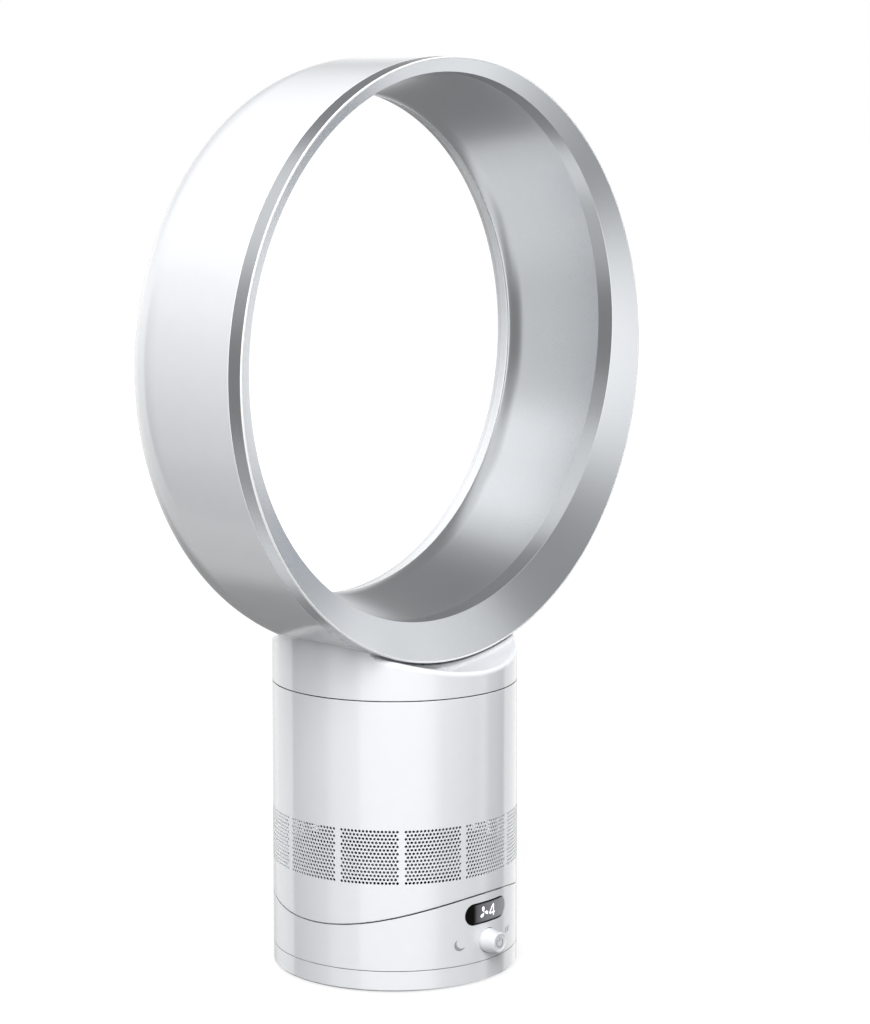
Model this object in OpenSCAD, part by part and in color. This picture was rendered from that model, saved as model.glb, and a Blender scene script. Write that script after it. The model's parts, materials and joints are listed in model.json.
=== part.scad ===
// Bladeless desk fan: a ring-shaped air amplifier on a cylindrical body that tilts
// on a cradle and swivels on a foot. Millimetres, +Z up, the front faces -Y, and the
// origin is on the table under the axis of the body.

/* [Body] */
// Outside diameter of the foot, control base, body and neck
body_d = 150; // [144:1:160]
// Wall of the moulded casings
wall = 2.5; // [2.2:0.1:2.8]
// Height of the seam between the foot and the control base
foot_h = 13.7; // [13.2:0.1:14.4]
// Height of the seam between the body and the neck of the loop
collar_z = 177.1; // [174:0.5:180]
// Open gap at a seam between two casings that move
seam = 0.5; // [0.4:0.05:0.7]
// Height of the casing above the table, filled by the rubber ring
stand_off = 1.2; // [1:0.1:1.6]

/* [Loop] */
// Outside diameter of the loop
loop_d = 358; // [350:1:366]
// Height of the lowest point of the loop above the collar seam
neck_h = 16.4; // [15:0.2:20]
// Front rim of the loop, in front of the axis of the body
loop_front = 49.4; // [47:0.2:52]
// Back of the loop, behind the axis of the body
loop_back = 49; // [47.6:0.2:50.2]
// Width of the metallic band round the outside of the front rim
band_w = 10.8; // [9:0.2:12]
// Angle between the front taper and the axis of the loop
taper_a = 57; // [54:0.5:60]
// Radial distance of the guide band inside the outside of the loop
guide_inset = 16; // [15:0.2:18]
// Rise of the guide band above the axis of the loop
guide_rise = 7; // [6:0.2:8]
// Radial distance of the throat inside the outside of the loop
throat_inset = 28.1; // [27:0.1:30]
// Depth of the throat behind the axis of the body
throat_y = 27.5; // [26:0.5:29]
// Rise of the diffuser above the axis of the loop
diffuser_rise = 5.9; // [5:0.1:6.5]
// Half angle of the diffuser cone
diffuser_a = 12.3; // [11.8:0.1:12.8]
// Radial step from the throat out to the rear lip, over the outlet slot
lip_step = 2.8; // [2.4:0.1:3.4]
// Depth of the tip of the rear lip
lip_y = 39.5; // [38.5:0.5:41]
// Width of the outlet slot
slot_w = 1.3; // [1:0.1:2]
// Radial depth of the rounded rear shoulder
shoulder_r = 16.5; // [15.5:0.1:17]
// Length of the rounded rear shoulder
shoulder_l = 30; // [28:1:32]
// Radius of the rounding between the back and the lip
nose_r = 2.6; // [2:0.1:2.8]
// Gap between the front band and the ledge of the neck
rim_gap = 1; // [0.8:0.1:1.5]
// Fall of the front ledge from the band to the front of the neck
ledge_fall = 1.5; // [1:0.1:2.5]
// Rise of the rear ledge above the outside of the loop
ledge_rise = 3; // [2.8:0.1:4]

/* [Tilt] */
// Height of the tilt seam where it is lowest, at the sides of the body
cradle_z = 39.3; // [38:0.1:40]
// Radius of the curved tilt seam
tilt_r = 184.8; // [180:0.1:190]
// Tilt each way, in degrees
tilt_limit = 10; // [8:0.5:12]

/* [Inlet grille] */
// Number of perforated panels round the body
panels = 12; // [10:1:14]
// Plain strip between two panels, in degrees
panel_gap = 2.7; // [2:0.1:4]
// Lower edge of the grille
grille_low = 66.4; // [65:0.2:68]
// Upper edge of the grille
grille_high = 99.6; // [97:0.2:102]
// Rows of holes
rows = 5; // [3:2:7]
// Holes in the longer rows of a panel
columns = 5; // [3:1:6]
// Width of a hole
hole_w = 4.4; // [3.5:0.1:4.8]

/* [Front panel] */
// Length of the display window, seen from the front
window_l = 37; // [34:0.2:40]
// Height of the display window
window_h = 13.4; // [12:0.2:13.8]
// Height of the middle of the display window
window_z = 43.5; // [43:0.1:44]
// Diameter of the power button at the casing
button_d = 14.6; // [13:0.2:15]
// Diameter of the end of the power button
button_tip_d = 12.2; // [11:0.2:12.6]
// Reach of the power button in front of the casing
button_reach = 9.6; // [8:0.2:11]
// Height of the middle of the power button
button_z = 25.7; // [25.2:0.1:26]
// Travel of the power button
button_travel = 1.5; // [1:0.1:1.8]

/* [Swivel] */
// Teeth of the fixed gear
gear_teeth = 70; // [70:1:70]
// Teeth of the pinion
pinion_teeth = 14; // [14:1:14]
// Thickness of the fixed gear
gear_t = 6; // [5:0.2:7]
// Diameter of the swivel post
post_d = 24; // [22:0.5:26]
// Diameter of the swivel motor
swivel_motor_d = 26; // [24:0.5:27]
// Height of the swivel motor
swivel_motor_h = 18; // [16:0.5:19]

/* [Impeller] */
// Number of impeller blades
blades = 9; // [7:1:11]
// Height of the inlet edge of the shroud
shroud_z = 62; // [60:0.5:64]
// Height of the throat of the shroud above its inlet edge
shroud_mouth_h = 9; // [8:0.2:10]
// Height of the cone of the shroud
shroud_cone_h = 35; // [33:0.5:36]
// Running gap between the blades and the shroud
blade_gap = 0.8; // [0.5:0.1:1.2]
// Thickness of a blade
blade_t = 1.6; // [1.3:0.1:2]
// Turn of a blade from its lower to its upper edge, in degrees
blade_sweep = 55; // [40:1:65]

/* [Motor] */
// Diameter of the motor shaft
shaft_d = 8; // [7:0.2:9]
// Outside diameter of the two ball bearings
bearing_d = 22; // [20:0.5:24]
// Width of a ball bearing
bearing_w = 7; // [6:0.2:8]
// Height of the motor can
can_h = 34; // [32:0.5:35]

/* [Bayonet] */
// Turn that unlocks the loop, in degrees
unlock_a = 16; // [12:1:20]
// Width of a bayonet lug, in degrees
lug_a = 16; // [12:1:20]
// Number of bayonet lugs
lugs = 3; // [3:1:4]

/* [Fits] */
// Gap between pieces that are fixed to each other
fit = 0.15; // [0.1:0.01:0.2]
// Gap between faces that move past each other
run_gap = 0.3; // [0.3:0.02:0.45]
// Radial gap of a shaft or post in its bore
bush_gap = 0.05; // [0.03:0.01:0.1]

/* [Hidden] */

// Smoothness of the round forms
fine = 160;
medium = 64;
small = 24;
// Steps of the rounded profiles
round_steps = 8;
// Overrun of every cut past the face that it opens
over = 1;
// Share of a width that is its half
half = 1 / 2;
// Small step or setback between neighbouring faces
step = 1;

// Casings
body_r = body_d / 2;
inner_r = body_r - wall;
seat_r = inner_r - fit;
foot_top = foot_h - seam * half;
base_low = foot_h + seam * half;
body_top = collar_z - seam * half;
neck_low = collar_z + seam * half;
// Bevel of an outside edge
edge_r = 1;

// Screws
screw_r = 1.75;
screw_head_r = 3.5;
screw_head_h = 2;
// Depth that a screw reaches into the piece that holds it, and of its pilot hole
screw_grip = 4;
pilot_depth = 6;

// Tilt cradle: the body's underside and the deck of the control base are
// arcs about the tilt axis
tilt_z = cradle_z + tilt_r;
shoe_r = tilt_r - seam * half;
cradle_r = tilt_r + seam * half;
deck_r = cradle_r + wall;
shoe_top_r = shoe_r - wall;

// Height of an arc about the tilt axis, at a depth y
function tilt_arc_z(r, y) = tilt_z - sqrt(r * r - y * y);
// Half angle of an arc about the tilt axis that reaches a depth y
function tilt_arc_a(y) = asin(y / tilt_r);

// Foot
foot_floor = stand_off + wall;
rubber_sink = 0.6;
rubber_inset = 7;
rubber_w = 10;
rubber_out = body_r - rubber_inset;
rubber_in = rubber_out - rubber_w;
track_inset = 11.5;
track_w = 6.5;
washer_t = 1.5;
washer_out = inner_r - track_inset;
washer_in = washer_out - track_w;
track_top = base_low - run_gap - washer_t;

// Swivel post and the bearing that turns on it
post_r = post_d / 2;
post_shoulder = 2;
post_neck_r = post_r - post_shoulder;
post_bore_r = post_neck_r - wall;
floor_t = 3;
floor_top = base_low + floor_t;
hub_wall = 6;
hub_h = 5;
hub_top = floor_top + hub_h;
nut_low = hub_top + run_gap;
nut_h = 3;
nut_r = post_r + hub_wall - step;
post_top = nut_low + nut_h + step;

// Involute gears, as large as fits inside the track. A share here is a part of
// the tooth module
pressure_a = 20;
addendum_share = 0.75;
dedendum_share = 1;
backlash = 0.12;
flank_steps = 3;
track_play = 4.75;
tooth_module = (washer_in - track_play) / (gear_teeth * half + pinion_teeth + addendum_share);
gear_r = gear_teeth * tooth_module * half;
pinion_r = pinion_teeth * tooth_module * half;
swivel_offset = gear_r + pinion_r;
gear_boss_r = post_r + fit;
gear_screw_r = (gear_boss_r + gear_r) * half;
gear_screws_n = 3;
gear_screw_grip = 1.5;
pinion_h = gear_t - step;
pinion_low = foot_floor + step;
swivel_shaft_r = 2.5;
swivel_shaft_hole_r = 5;

// Power inlet at the back of the foot
inlet_w = 12;
inlet_h = 8;
inlet_l = 11;
inlet_bore_r = 2.9;
inlet_bore_l = 9;
pin_r = 1;
inlet_z = foot_floor + inlet_h * half;
inlet_face_y = inner_r - step;

// Posts of the control housing for the floor screws
housing_post_r = 4;
post_inset = 12;
post_a = 34;
post_x = (inner_r - post_inset) * cos(post_a);
post_y = (inner_r - post_inset) * sin(post_a);

// Tilt rails: ribs under the body floor, held by keepers below the deck. Runners
// in the deck carry the body beside them
runner_inset = 20.5;
runner_x = inner_r - runner_inset;
runner_w = 4;
runner_reach = 41.5;
runner_a = tilt_arc_a(runner_reach);
runner_play_a = 0.3;
runner_sink = 1.2;
rail_gap = 19;
rail_x = runner_x - rail_gap;
rail_w = 8;
rail_reach = 19.3;
rail_a = tilt_arc_a(rail_reach);
keeper_w = 16;
keeper_top_r = deck_r + run_gap;
keeper_low_r = keeper_top_r + wall;
tilt_play_a = 0.5;
slot_a = rail_a + tilt_limit + tilt_play_a;
lead_slot_w = 14;
lead_slot_a = tilt_limit + tilt_play_a;
lead_hole_r = 4.5;

// Front panel
window_steps = 16;
button_r = button_d / 2;
button_tip_r = button_tip_d / 2;
button_tip_y = -body_r - button_reach;
button_straight = 1;
button_flange_w = 1.6;
button_flange_r = button_r + button_flange_w;
button_flange_t = 1.8;
button_flange_y = -sqrt(pow(inner_r, 2) - pow(button_flange_r, 2)) + run_gap;
button_back_y = button_flange_y + button_flange_t;
actuator_r = 1.7;
actuator_l = 2.6;
switch_w = 7;
switch_front_y = button_back_y + button_travel + run_gap;
board_setback = 10;
board_y = -inner_r + board_setback;
board_t = 1.6;
board_w = 44;
board_top = tilt_arc_z(deck_r, board_y) - step;
module_w = 18;
module_h = 8;
module_gap = 2;
module_z = board_top - module_h * half - step;
receiver_w = 5;
receiver_x = 14;

// Main board on the floor of the control base, between the front board and the hub
main_board_w = 48;
main_board_gap = 8;
main_board_lift = 2;
main_board_front = board_y + board_t + main_board_gap;
main_board_back = -post_r - hub_wall - step;
main_board_l = main_board_back - main_board_front;
main_board_y = (main_board_front + main_board_back) * half;
spacer_inset = 3.5;
capacitor_r = 5;
capacitor_h = 9;
capacitor_x = -16;
small_capacitor_r = 4;
small_capacitor_h = 8;
small_capacitor_x = -6;
terminal_w = 14;
terminal_l = 10;
terminal_h = 8;
terminal_x = 6;

// Ledges of the body's shell, and its bosses for the screws of the floor
ledge_t = 2.5;
ledge_w = 7;
seal_t = 2;
collar_h = 19.1;
collar_low = collar_z - collar_h;
flange_drop = 10;
flange_z = collar_low - flange_drop;
shell_ledge_top = flange_z - seal_t;
shell_ledge_in = inner_r - ledge_w;
boss_inset = 7.5;
boss_h = 10;
shell_boss_out = inner_r - boss_inset;
shell_boss_y = shell_boss_out * sqrt(half);
shell_boss_r = 5;
floor_screw_seat = tilt_arc_z(shoe_r, shell_boss_y + screw_head_r) + screw_head_h + run_gap;
floor_pad_top = floor_screw_seat + wall;
shell_boss_top = floor_pad_top + boss_h;

// The air's way through the body. A share here is a part of the inside radius
// of the body
shroud_share = 0.786;
throat_share = 0.524;
hub_share = 0.565;
bucket_share = 0.62;
can_share = 0.428;
rotor_share = 0.22;
shroud_r = inner_r * shroud_share;
shroud_t = 2;
shroud_throat_r = inner_r * throat_share;
shroud_throat_z = shroud_z + shroud_mouth_h;
shroud_cone_z = shroud_throat_z + shroud_cone_h;
shroud_mouth_w = 7;
mouth_steps = 6;
shroud_screws_n = 3;
shroud_screw_a = 30;
foam_lap = 4;
foam_r = shroud_throat_r + foam_lap;
foam_in = 12;
foam_h = 11;

// Impeller
hub_r = inner_r * hub_share;
hub_nose_r = 10;
hub_nose_w = 3;
hub_setback = 3;
hub_low_z = shroud_throat_z + step;
hub_top_z = shroud_cone_z - hub_setback;
back_plate_t = 2;
hub_flare = 1.25;
sweep_flare = 1.4;
blade_steps = 6;
blade_low = hub_low_z + run_gap;
blade_high = hub_top_z - run_gap;

// Motor, in its bucket over the impeller
shaft_r = shaft_d / 2;
press_gap = bush_gap * half;
bearing_r = bearing_d / 2;
race_t = 2;
bucket_gap = 3;
bucket_play = 3.5;
bucket_r = inner_r * bucket_share;
bucket_z = hub_top_z + back_plate_t + bucket_gap;
bucket_h = wall + can_h + bucket_play;
bucket_top = bucket_z + bucket_h;
cap_h = 22;
cap_nose_r = 14;
dome_steps = 7;
can_r = inner_r * can_share;
can_low = bucket_z + wall;
can_wall = 1.5;
can_top = can_low + can_h;
can_floor = can_low + bearing_w;
cover_t = 3;
// Height of a coil above and below the stator
coil_reach = 2;
coil_t = 2;
stator_h = 20;
stator_low = can_floor + coil_reach + step;
poles = 6;
pole_w = 4;
yoke_w = 4;
yoke_r = can_r - can_wall - yoke_w;
rotor_r = inner_r * rotor_share;
rotor_h = stator_h - 2 * edge_r;
rotor_low = stator_low + edge_r;
rotor_gap = 0.5;
shaft_nut_low = hub_low_z - step - nut_h;

// Fixed vanes between the motor bucket and the shroud
straightener_lift = 14;
straightener_z = bucket_z + straightener_lift;
straightener_h = 20;
vanes = 11;
vane_t = 1.6;
vane_lean = 14;

// Bayonet between the body and the loop
spigot_inset = 9.5;
spigot_r = inner_r - spigot_inset;
spigot_t = 3;
spigot_depth = 12;
spigot_low = neck_low - spigot_depth;
spigot_flange_t = 2.5;
spigot_screws_n = 6;
lug_reach = 3.3;
lug_out_r = spigot_r + lug_reach;
lug_low = spigot_low + step;
lug_h = 3.5;
lug_play_a = 1;
collar_in = spigot_r + run_gap;
collar_seal_t = spigot_low - run_gap - collar_low - wall;

// Loop
loop_r = loop_d / 2;
loop_z = collar_z + neck_h + loop_r;
guide_r = loop_r - guide_inset;
throat_r = loop_r - throat_inset;
lip_r = throat_r + lip_step;
guide_z = loop_z + guide_rise;
diffuser_z = loop_z + diffuser_rise;
casing_front = -loop_front + band_w;
ring_t = 2;
lip_tip_t = 1.2;
lip_base_t = 3.5;
ledge_r = loop_r - ledge_rise;
taper_k = 1 / tan(taper_a);
taper_in = guide_r - guide_rise - ring_t;

// The surface that the air follows out of the slot is an arc, tangent to the
// diffuser at the throat, that passes under the tip of the lip
coanda_dy = lip_y - throat_y;
coanda_dr = lip_step + lip_tip_t + slot_w;
coanda_turn = atan2(coanda_dr, coanda_dy) + diffuser_a;
coanda_r = sqrt(coanda_dy * coanda_dy + coanda_dr * coanda_dr) / (2 * sin(coanda_turn));
coanda_cy = throat_y + coanda_r * sin(diffuser_a);
coanda_cr = throat_r + coanda_r * cos(diffuser_a);
coanda_end_a = 105;

// Webs in the outlet slot
spacers = 16;
spacer_w = 1.6;

// Height of a circle about the loop's axis, at a sideways place x
function loop_low_z(r, x) = loop_z - sqrt(r * r - x * x);

// Radius of the diffuser at a depth y
function diffuser_r(y) = throat_r + (throat_y - y) * tan(diffuser_a);

// Points of an arc of an ellipse
function arc(cx, cy, rx, ry, a0, a1, n) =
  [for (i = [0 : n]) let (a = a0 + (a1 - a0) * i / n) [cx + rx * cos(a), cy + ry * sin(a)]];

// A ring about the vertical axis
module ring(r_in, r_out, z, h, fn = fine) {
  translate([0, 0, z])
    difference() {
      cylinder(r = r_out, h = h, $fn = fn);
      translate([0, 0, -over]) cylinder(r = r_in, h = h + 2 * over, $fn = fn);
    }
}

// A revolve about a horizontal axis that runs front to back at height z;
// each point is [radius, depth]
module across(z, points) {
  translate([0, 0, z])
    rotate([-90, 0, 0])
      rotate_extrude($fn = fine) polygon(points);
}

// A cylinder about the same kind of axis
module across_cylinder(z, r, y0, y1, fn = fine) {
  translate([0, y0, z])
    rotate([-90, 0, 0])
      cylinder(r = r, h = y1 - y0, $fn = fn);
}

// Everything within a radius of the tilt axis
module tilt_cylinder(r) {
  translate([-body_d * half - over, 0, tilt_z])
    rotate([0, 90, 0])
      cylinder(r = r, h = body_d + 2 * over, $fn = fine);
}

// A bar that follows an arc about the tilt axis, centred under it
module tilt_bar(r0, r1, x0, x1, a) {
  translate([0, 0, tilt_z])
    rotate([0, 90, 0])
      rotate([0, 0, -a])
        rotate_extrude(angle = 2 * a, $fn = fine)
          polygon([[r0, x0], [r1, x0], [r1, x1], [r0, x1]]);
}

// Four places, mirrored about both axes
module at_four(x, y, z) {
  for (sx = [-1, 1])
    for (sy = [-1, 1])
      translate([sx * x, sy * y, z]) children();
}

// Four places round the body, with +X outwards
module at_quarters(r, z) {
  for (k = [0 : 3])
    rotate([0, 0, 45 + 90 * k])
      translate([r, 0, z]) children();
}

// A screw that points up, with its head at the bottom and its length over all
module screw_up(l, head_r = screw_head_r, r = screw_r) {
  cylinder(r = head_r, h = screw_head_h, $fn = small);
  cylinder(r = r, h = l, $fn = small);
}

// Point of the involute of a circle, after unrolling by t degrees
function involute(rb, t) =
  [rb * (cos(t) + t * PI / 180 * sin(t)), rb * (sin(t) - t * PI / 180 * cos(t))];

// A point turned about the origin
function turn(p, a) = [p[0] * cos(a) - p[1] * sin(a), p[0] * sin(a) + p[1] * cos(a)];

// Outline of one tooth, from root to root
function tooth_points(teeth) =
  let (
    rp = teeth * tooth_module / 2,
    rb = rp * cos(pressure_a),
    ra = rp + addendum_share * tooth_module,
    rf = rp - dedendum_share * tooth_module,
    t_tip = sqrt(pow(ra / rb, 2) - 1) * 180 / PI,
    t_root = sqrt(max(0, pow(rf / rb, 2) - 1)) * 180 / PI,
    t_pitch = tan(pressure_a) * 180 / PI,
    offset_a = 90 / teeth - backlash / rp * 90 / PI + t_pitch - pressure_a,
    flank = [
      for (i = [0 : flank_steps])
        turn(involute(rb, t_root + (t_tip - t_root) * i / flank_steps), -offset_a)
    ],
    root = rf < rb ? [turn([rf, 0], -offset_a)] : [],
    side = concat(root, flank)
  )
  concat(side, [for (i = [len(side) - 1 : -1 : 0]) [side[i][0], -side[i][1]]]);

// A whole gear, with the middle of a tooth at the phase angle
module gear_outline(teeth, phase) {
  polygon([
    for (k = [0 : teeth - 1])
      for (p = tooth_points(teeth))
        turn(p, phase + 360 * k / teeth)
  ]);
}

// The foot

// Places of the screws of the fixed gear
module gear_screw_places(z) {
  for (k = [0 : gear_screws_n - 1])
    rotate([0, 0, 90 + 360 * k / gear_screws_n])
      translate([gear_screw_r, 0, z]) children();
}

module foot_shell() {
  color("white")
    difference() {
      union() {
        rotate_extrude($fn = fine)
          polygon([
            [0, stand_off], [body_r - edge_r, stand_off], [body_r, stand_off + edge_r],
            [body_r, foot_top], [inner_r, foot_top], [inner_r, foot_floor], [0, foot_floor]
          ]);
        ring(washer_in, washer_out, foot_floor - edge_r, track_top - foot_floor + edge_r);
        translate([0, 0, stand_off]) cylinder(r = post_r, h = nut_low - stand_off, $fn = medium);
        translate([0, 0, stand_off]) cylinder(r = post_neck_r, h = post_top - stand_off, $fn = medium);
      }
      translate([0, 0, -over]) cylinder(r = post_bore_r, h = post_top + 2 * over, $fn = medium);
      ring(rubber_in, rubber_out, -over, stand_off + rubber_sink + over);
      // Opening for the power inlet
      translate([-inlet_w * half, inner_r - 2 * wall, foot_floor])
        cube([inlet_w, 3 * wall, inlet_h + fit]);
      // Seat of the inlet in the track ring
      translate([-inlet_w * half - fit, washer_in - over, foot_floor])
        cube([inlet_w + 2 * fit, inner_r - washer_in, track_top]);
      // Pilot holes under the fixed gear
      gear_screw_places(foot_floor - gear_screw_grip)
        cylinder(r = screw_r, h = gear_screw_grip + over, $fn = small);
    }
}

module rubber_foot_ring() {
  color("dimgray")
    ring(rubber_in + fit, rubber_out - fit, 0, stand_off + rubber_sink);
}

module swivel_gear() {
  color("gainsboro")
    difference() {
      translate([0, 0, foot_floor])
        linear_extrude(gear_t) gear_outline(gear_teeth, 90 + 180 / gear_teeth);
      translate([0, 0, foot_floor - over])
        cylinder(r = gear_boss_r, h = gear_t + 2 * over, $fn = medium);
      gear_screw_places(foot_floor - over)
        cylinder(r = screw_r + fit, h = gear_t + 2 * over, $fn = small);
      gear_screw_places(foot_floor + gear_t - screw_head_h)
        cylinder(r = screw_head_r + fit, h = screw_head_h + over, $fn = small);
    }
}

module gear_screws() {
  color("silver")
    gear_screw_places(foot_floor + gear_t)
      rotate([180, 0, 0])
        screw_up(gear_t + gear_screw_grip - bush_gap, r = screw_r - bush_gap);
}

module power_inlet() {
  color("black")
    difference() {
      translate([-inlet_w * half + fit, inlet_face_y - inlet_l, foot_floor])
        cube([inlet_w - 2 * fit, inlet_l, inlet_h]);
      across_cylinder(inlet_z, inlet_bore_r, inlet_face_y - inlet_bore_l, inlet_face_y + over, small);
    }
}

module inlet_pin() {
  color("gold")
    across_cylinder(inlet_z, pin_r, inlet_face_y - inlet_bore_l, inlet_face_y - pin_r, small);
}

module swivel_washer() {
  color("ivory")
    difference() {
      ring(washer_in + fit, washer_out - fit, track_top, washer_t);
      translate([-inlet_w * half - fit, 0, track_top - over])
        cube([inlet_w + 2 * fit, body_r, washer_t + 2 * over]);
    }
}

module swivel_nut() {
  color("silver")
    difference() {
      translate([0, 0, nut_low]) cylinder(r = nut_r, h = nut_h, $fn = 6);
      translate([0, 0, nut_low - over])
        cylinder(r = post_neck_r + bush_gap, h = nut_h + 2 * over, $fn = medium);
    }
}

// The control base, which swivels on the foot

module control_housing() {
  color("white")
    difference() {
      union() {
        difference() {
          translate([0, 0, base_low]) cylinder(r = body_r, h = tilt_z - base_low, $fn = fine);
          difference() {
            translate([0, 0, base_low - over]) cylinder(r = inner_r, h = tilt_r, $fn = fine);
            tilt_cylinder(deck_r);
          }
        }
        at_four(post_x, post_y, floor_top)
          cylinder(r = housing_post_r, h = tilt_arc_z(deck_r, post_y) - floor_top + wall, $fn = small);
      }
      tilt_cylinder(cradle_r);
      // Slots for the tilt rails and the lead
      for (s = [-1, 1])
        tilt_bar(cradle_r - over, deck_r + over,
          s * rail_x - rail_w * half - run_gap, s * rail_x + rail_w * half + run_gap, slot_a);
      tilt_bar(cradle_r - over, deck_r + over, -lead_slot_w * half, lead_slot_w * half, lead_slot_a);
      // Grooves for the runners
      for (s = [-1, 1])
        tilt_bar(cradle_r - over, cradle_r + runner_sink + bush_gap,
          s * runner_x - runner_w * half - fit, s * runner_x + runner_w * half + fit, runner_a);
      // Display window
      window_pill(0, inner_r - wall, body_r + over);
      // Power button
      across_cylinder(button_z, button_r + run_gap, -body_r - over, -inner_r + 2 * wall, medium);
      // Pilot holes of the floor screws
      at_four(post_x, post_y, floor_top - over)
        cylinder(r = screw_r, h = pilot_depth, $fn = small);
    }
}

// A pill across the front, drawn in by t, from depth y0 to y1 in front of the axis
module window_pill(t, y0, y1) {
  r = window_h * half - t;
  side = (window_l - window_h) * half;
  translate([0, -y0, window_z])
    rotate([90, 0, 0])
      linear_extrude(y1 - y0)
        polygon(concat(
          arc(side, 0, r, r, -90, 90, window_steps), arc(-side, 0, r, r, 90, 270, window_steps)
        ));
}

module display_window() {
  color([0.05, 0.05, 0.06])
    intersection() {
      window_pill(fit, inner_r - wall, body_r + over);
      ring(inner_r, body_r, base_low, body_r);
    }
}

module control_floor() {
  color("lightgray")
    difference() {
      union() {
        translate([0, 0, base_low]) cylinder(r = seat_r, h = floor_t, $fn = fine);
        translate([0, 0, base_low]) cylinder(r = post_r + hub_wall, h = floor_t + hub_h, $fn = medium);
      }
      translate([0, 0, base_low - over])
        cylinder(r = post_r + bush_gap, h = floor_t + hub_h + 2 * over, $fn = medium);
      translate([0, swivel_offset, base_low - over])
        cylinder(r = swivel_shaft_hole_r, h = floor_t + 2 * over, $fn = small);
      at_four(post_x, post_y, base_low - over) {
        cylinder(r = screw_r + fit, h = floor_t + 2 * over, $fn = small);
        cylinder(r = screw_head_r + fit, h = screw_head_h + over, $fn = small);
      }
      // Room for the flange of the power button
      across_cylinder(button_z, button_flange_r + run_gap, -body_r, switch_front_y, medium);
    }
}

module floor_screws() {
  color("silver")
    at_four(post_x, post_y, base_low)
      screw_up(floor_t + screw_grip);
}

module tilt_runners() {
  color("ivory")
    for (s = [-1, 1])
      tilt_bar(shoe_r + run_gap, cradle_r + runner_sink,
        s * runner_x - runner_w * half, s * runner_x + runner_w * half, runner_a - runner_play_a);
}

module control_board() {
  color("darkgreen")
    translate([-board_w * half, board_y, floor_top])
      cube([board_w, board_t, board_top - floor_top]);
}

module display_module() {
  color("black")
    translate([-module_w * half, -inner_r + module_gap, module_z - module_h * half])
      cube([module_w, board_setback - module_gap, module_h]);
}

module remote_receiver() {
  color("dimgray")
    translate([receiver_x - receiver_w * half, board_y - receiver_w, module_z - receiver_w * half])
      cube([receiver_w, receiver_w, receiver_w]);
}

module button_switch() {
  color("silver")
    difference() {
      translate([-switch_w * half, switch_front_y, button_z - switch_w * half])
        cube([switch_w, board_y - switch_front_y, switch_w]);
      across_cylinder(button_z, actuator_r + bush_gap, switch_front_y - over,
        switch_front_y + actuator_l + button_travel, small);
    }
}

module main_board() {
  color("darkgreen")
    difference() {
      translate([-main_board_w * half, main_board_y - main_board_l * half, floor_top + main_board_lift])
        cube([main_board_w, main_board_l, board_t]);
      translate([0, 0, floor_top])
        cylinder(r = post_r + hub_wall + step, h = hub_h + over, $fn = medium);
    }
}

// Spacers, capacitors and terminal of the main board
module board_parts() {
  part_z = floor_top + main_board_lift + board_t;
  color("slategray") {
    translate([0, main_board_y, 0])
      at_four(main_board_w * half - spacer_inset, main_board_l * half - spacer_inset, floor_top)
        cylinder(r = spacer_inset - fit, h = main_board_lift, $fn = small);
    translate([capacitor_x, main_board_y, part_z])
      cylinder(r = capacitor_r, h = capacitor_h, $fn = small);
    translate([small_capacitor_x, main_board_y, part_z])
      cylinder(r = small_capacitor_r, h = small_capacitor_h, $fn = small);
    translate([terminal_x, main_board_y - terminal_l * half, part_z])
      cube([terminal_w, terminal_l, terminal_h]);
  }
}

module swivel_motor() {
  color("silver")
    difference() {
      translate([0, swivel_offset, floor_top])
        cylinder(r = swivel_motor_d * half, h = swivel_motor_h, $fn = medium);
      translate([0, swivel_offset, floor_top - over])
        cylinder(r = swivel_shaft_r + bush_gap, h = swivel_motor_h - wall + over, $fn = small);
    }
}

module swivel_motor_shaft() {
  color("gray")
    translate([0, swivel_offset, pinion_low - run_gap])
      cylinder(r = swivel_shaft_r, h = floor_top + swivel_motor_h - 2 * wall - pinion_low, $fn = small);
}

module swivel_pinion() {
  color("ivory")
    translate([0, swivel_offset, pinion_low])
      difference() {
        linear_extrude(pinion_h) gear_outline(pinion_teeth, -90);
        translate([0, 0, -over])
          cylinder(r = swivel_shaft_r + bush_gap * half, h = pinion_h + 2 * over, $fn = small);
      }
}

// The power button

module power_button() {
  color("whitesmoke")
    translate([0, 0, button_z])
      rotate([-90, 0, 0])
        rotate_extrude($fn = medium)
          polygon([
            [0, button_tip_y], [button_tip_r - edge_r, button_tip_y],
            [button_tip_r, button_tip_y + edge_r],
            [button_r, -body_r - button_straight], [button_r, button_flange_y],
            [button_flange_r, button_flange_y], [button_flange_r, button_back_y],
            [actuator_r, button_back_y], [actuator_r, switch_front_y + actuator_l],
            [0, switch_front_y + actuator_l]
          ]);
}

// The body, which tilts on the cradle

module grille_holes() {
  pitch_z = (grille_high - grille_low) / rows;
  pitch_a = (360 / panels - panel_gap) / columns;
  for (p = [0 : panels - 1])
    for (r = [0 : rows - 1])
      let (n = columns - r % 2)
        for (c = [0 : n - 1])
          rotate([0, 0, 360 / panels * p + (c - (n - 1) * half) * pitch_a])
            translate([inner_r - wall, 0, grille_low + (r + half) * pitch_z])
              rotate([0, 90, 0])
                cylinder(r = hole_w * half, h = 3 * wall, $fn = 6);
}

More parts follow.
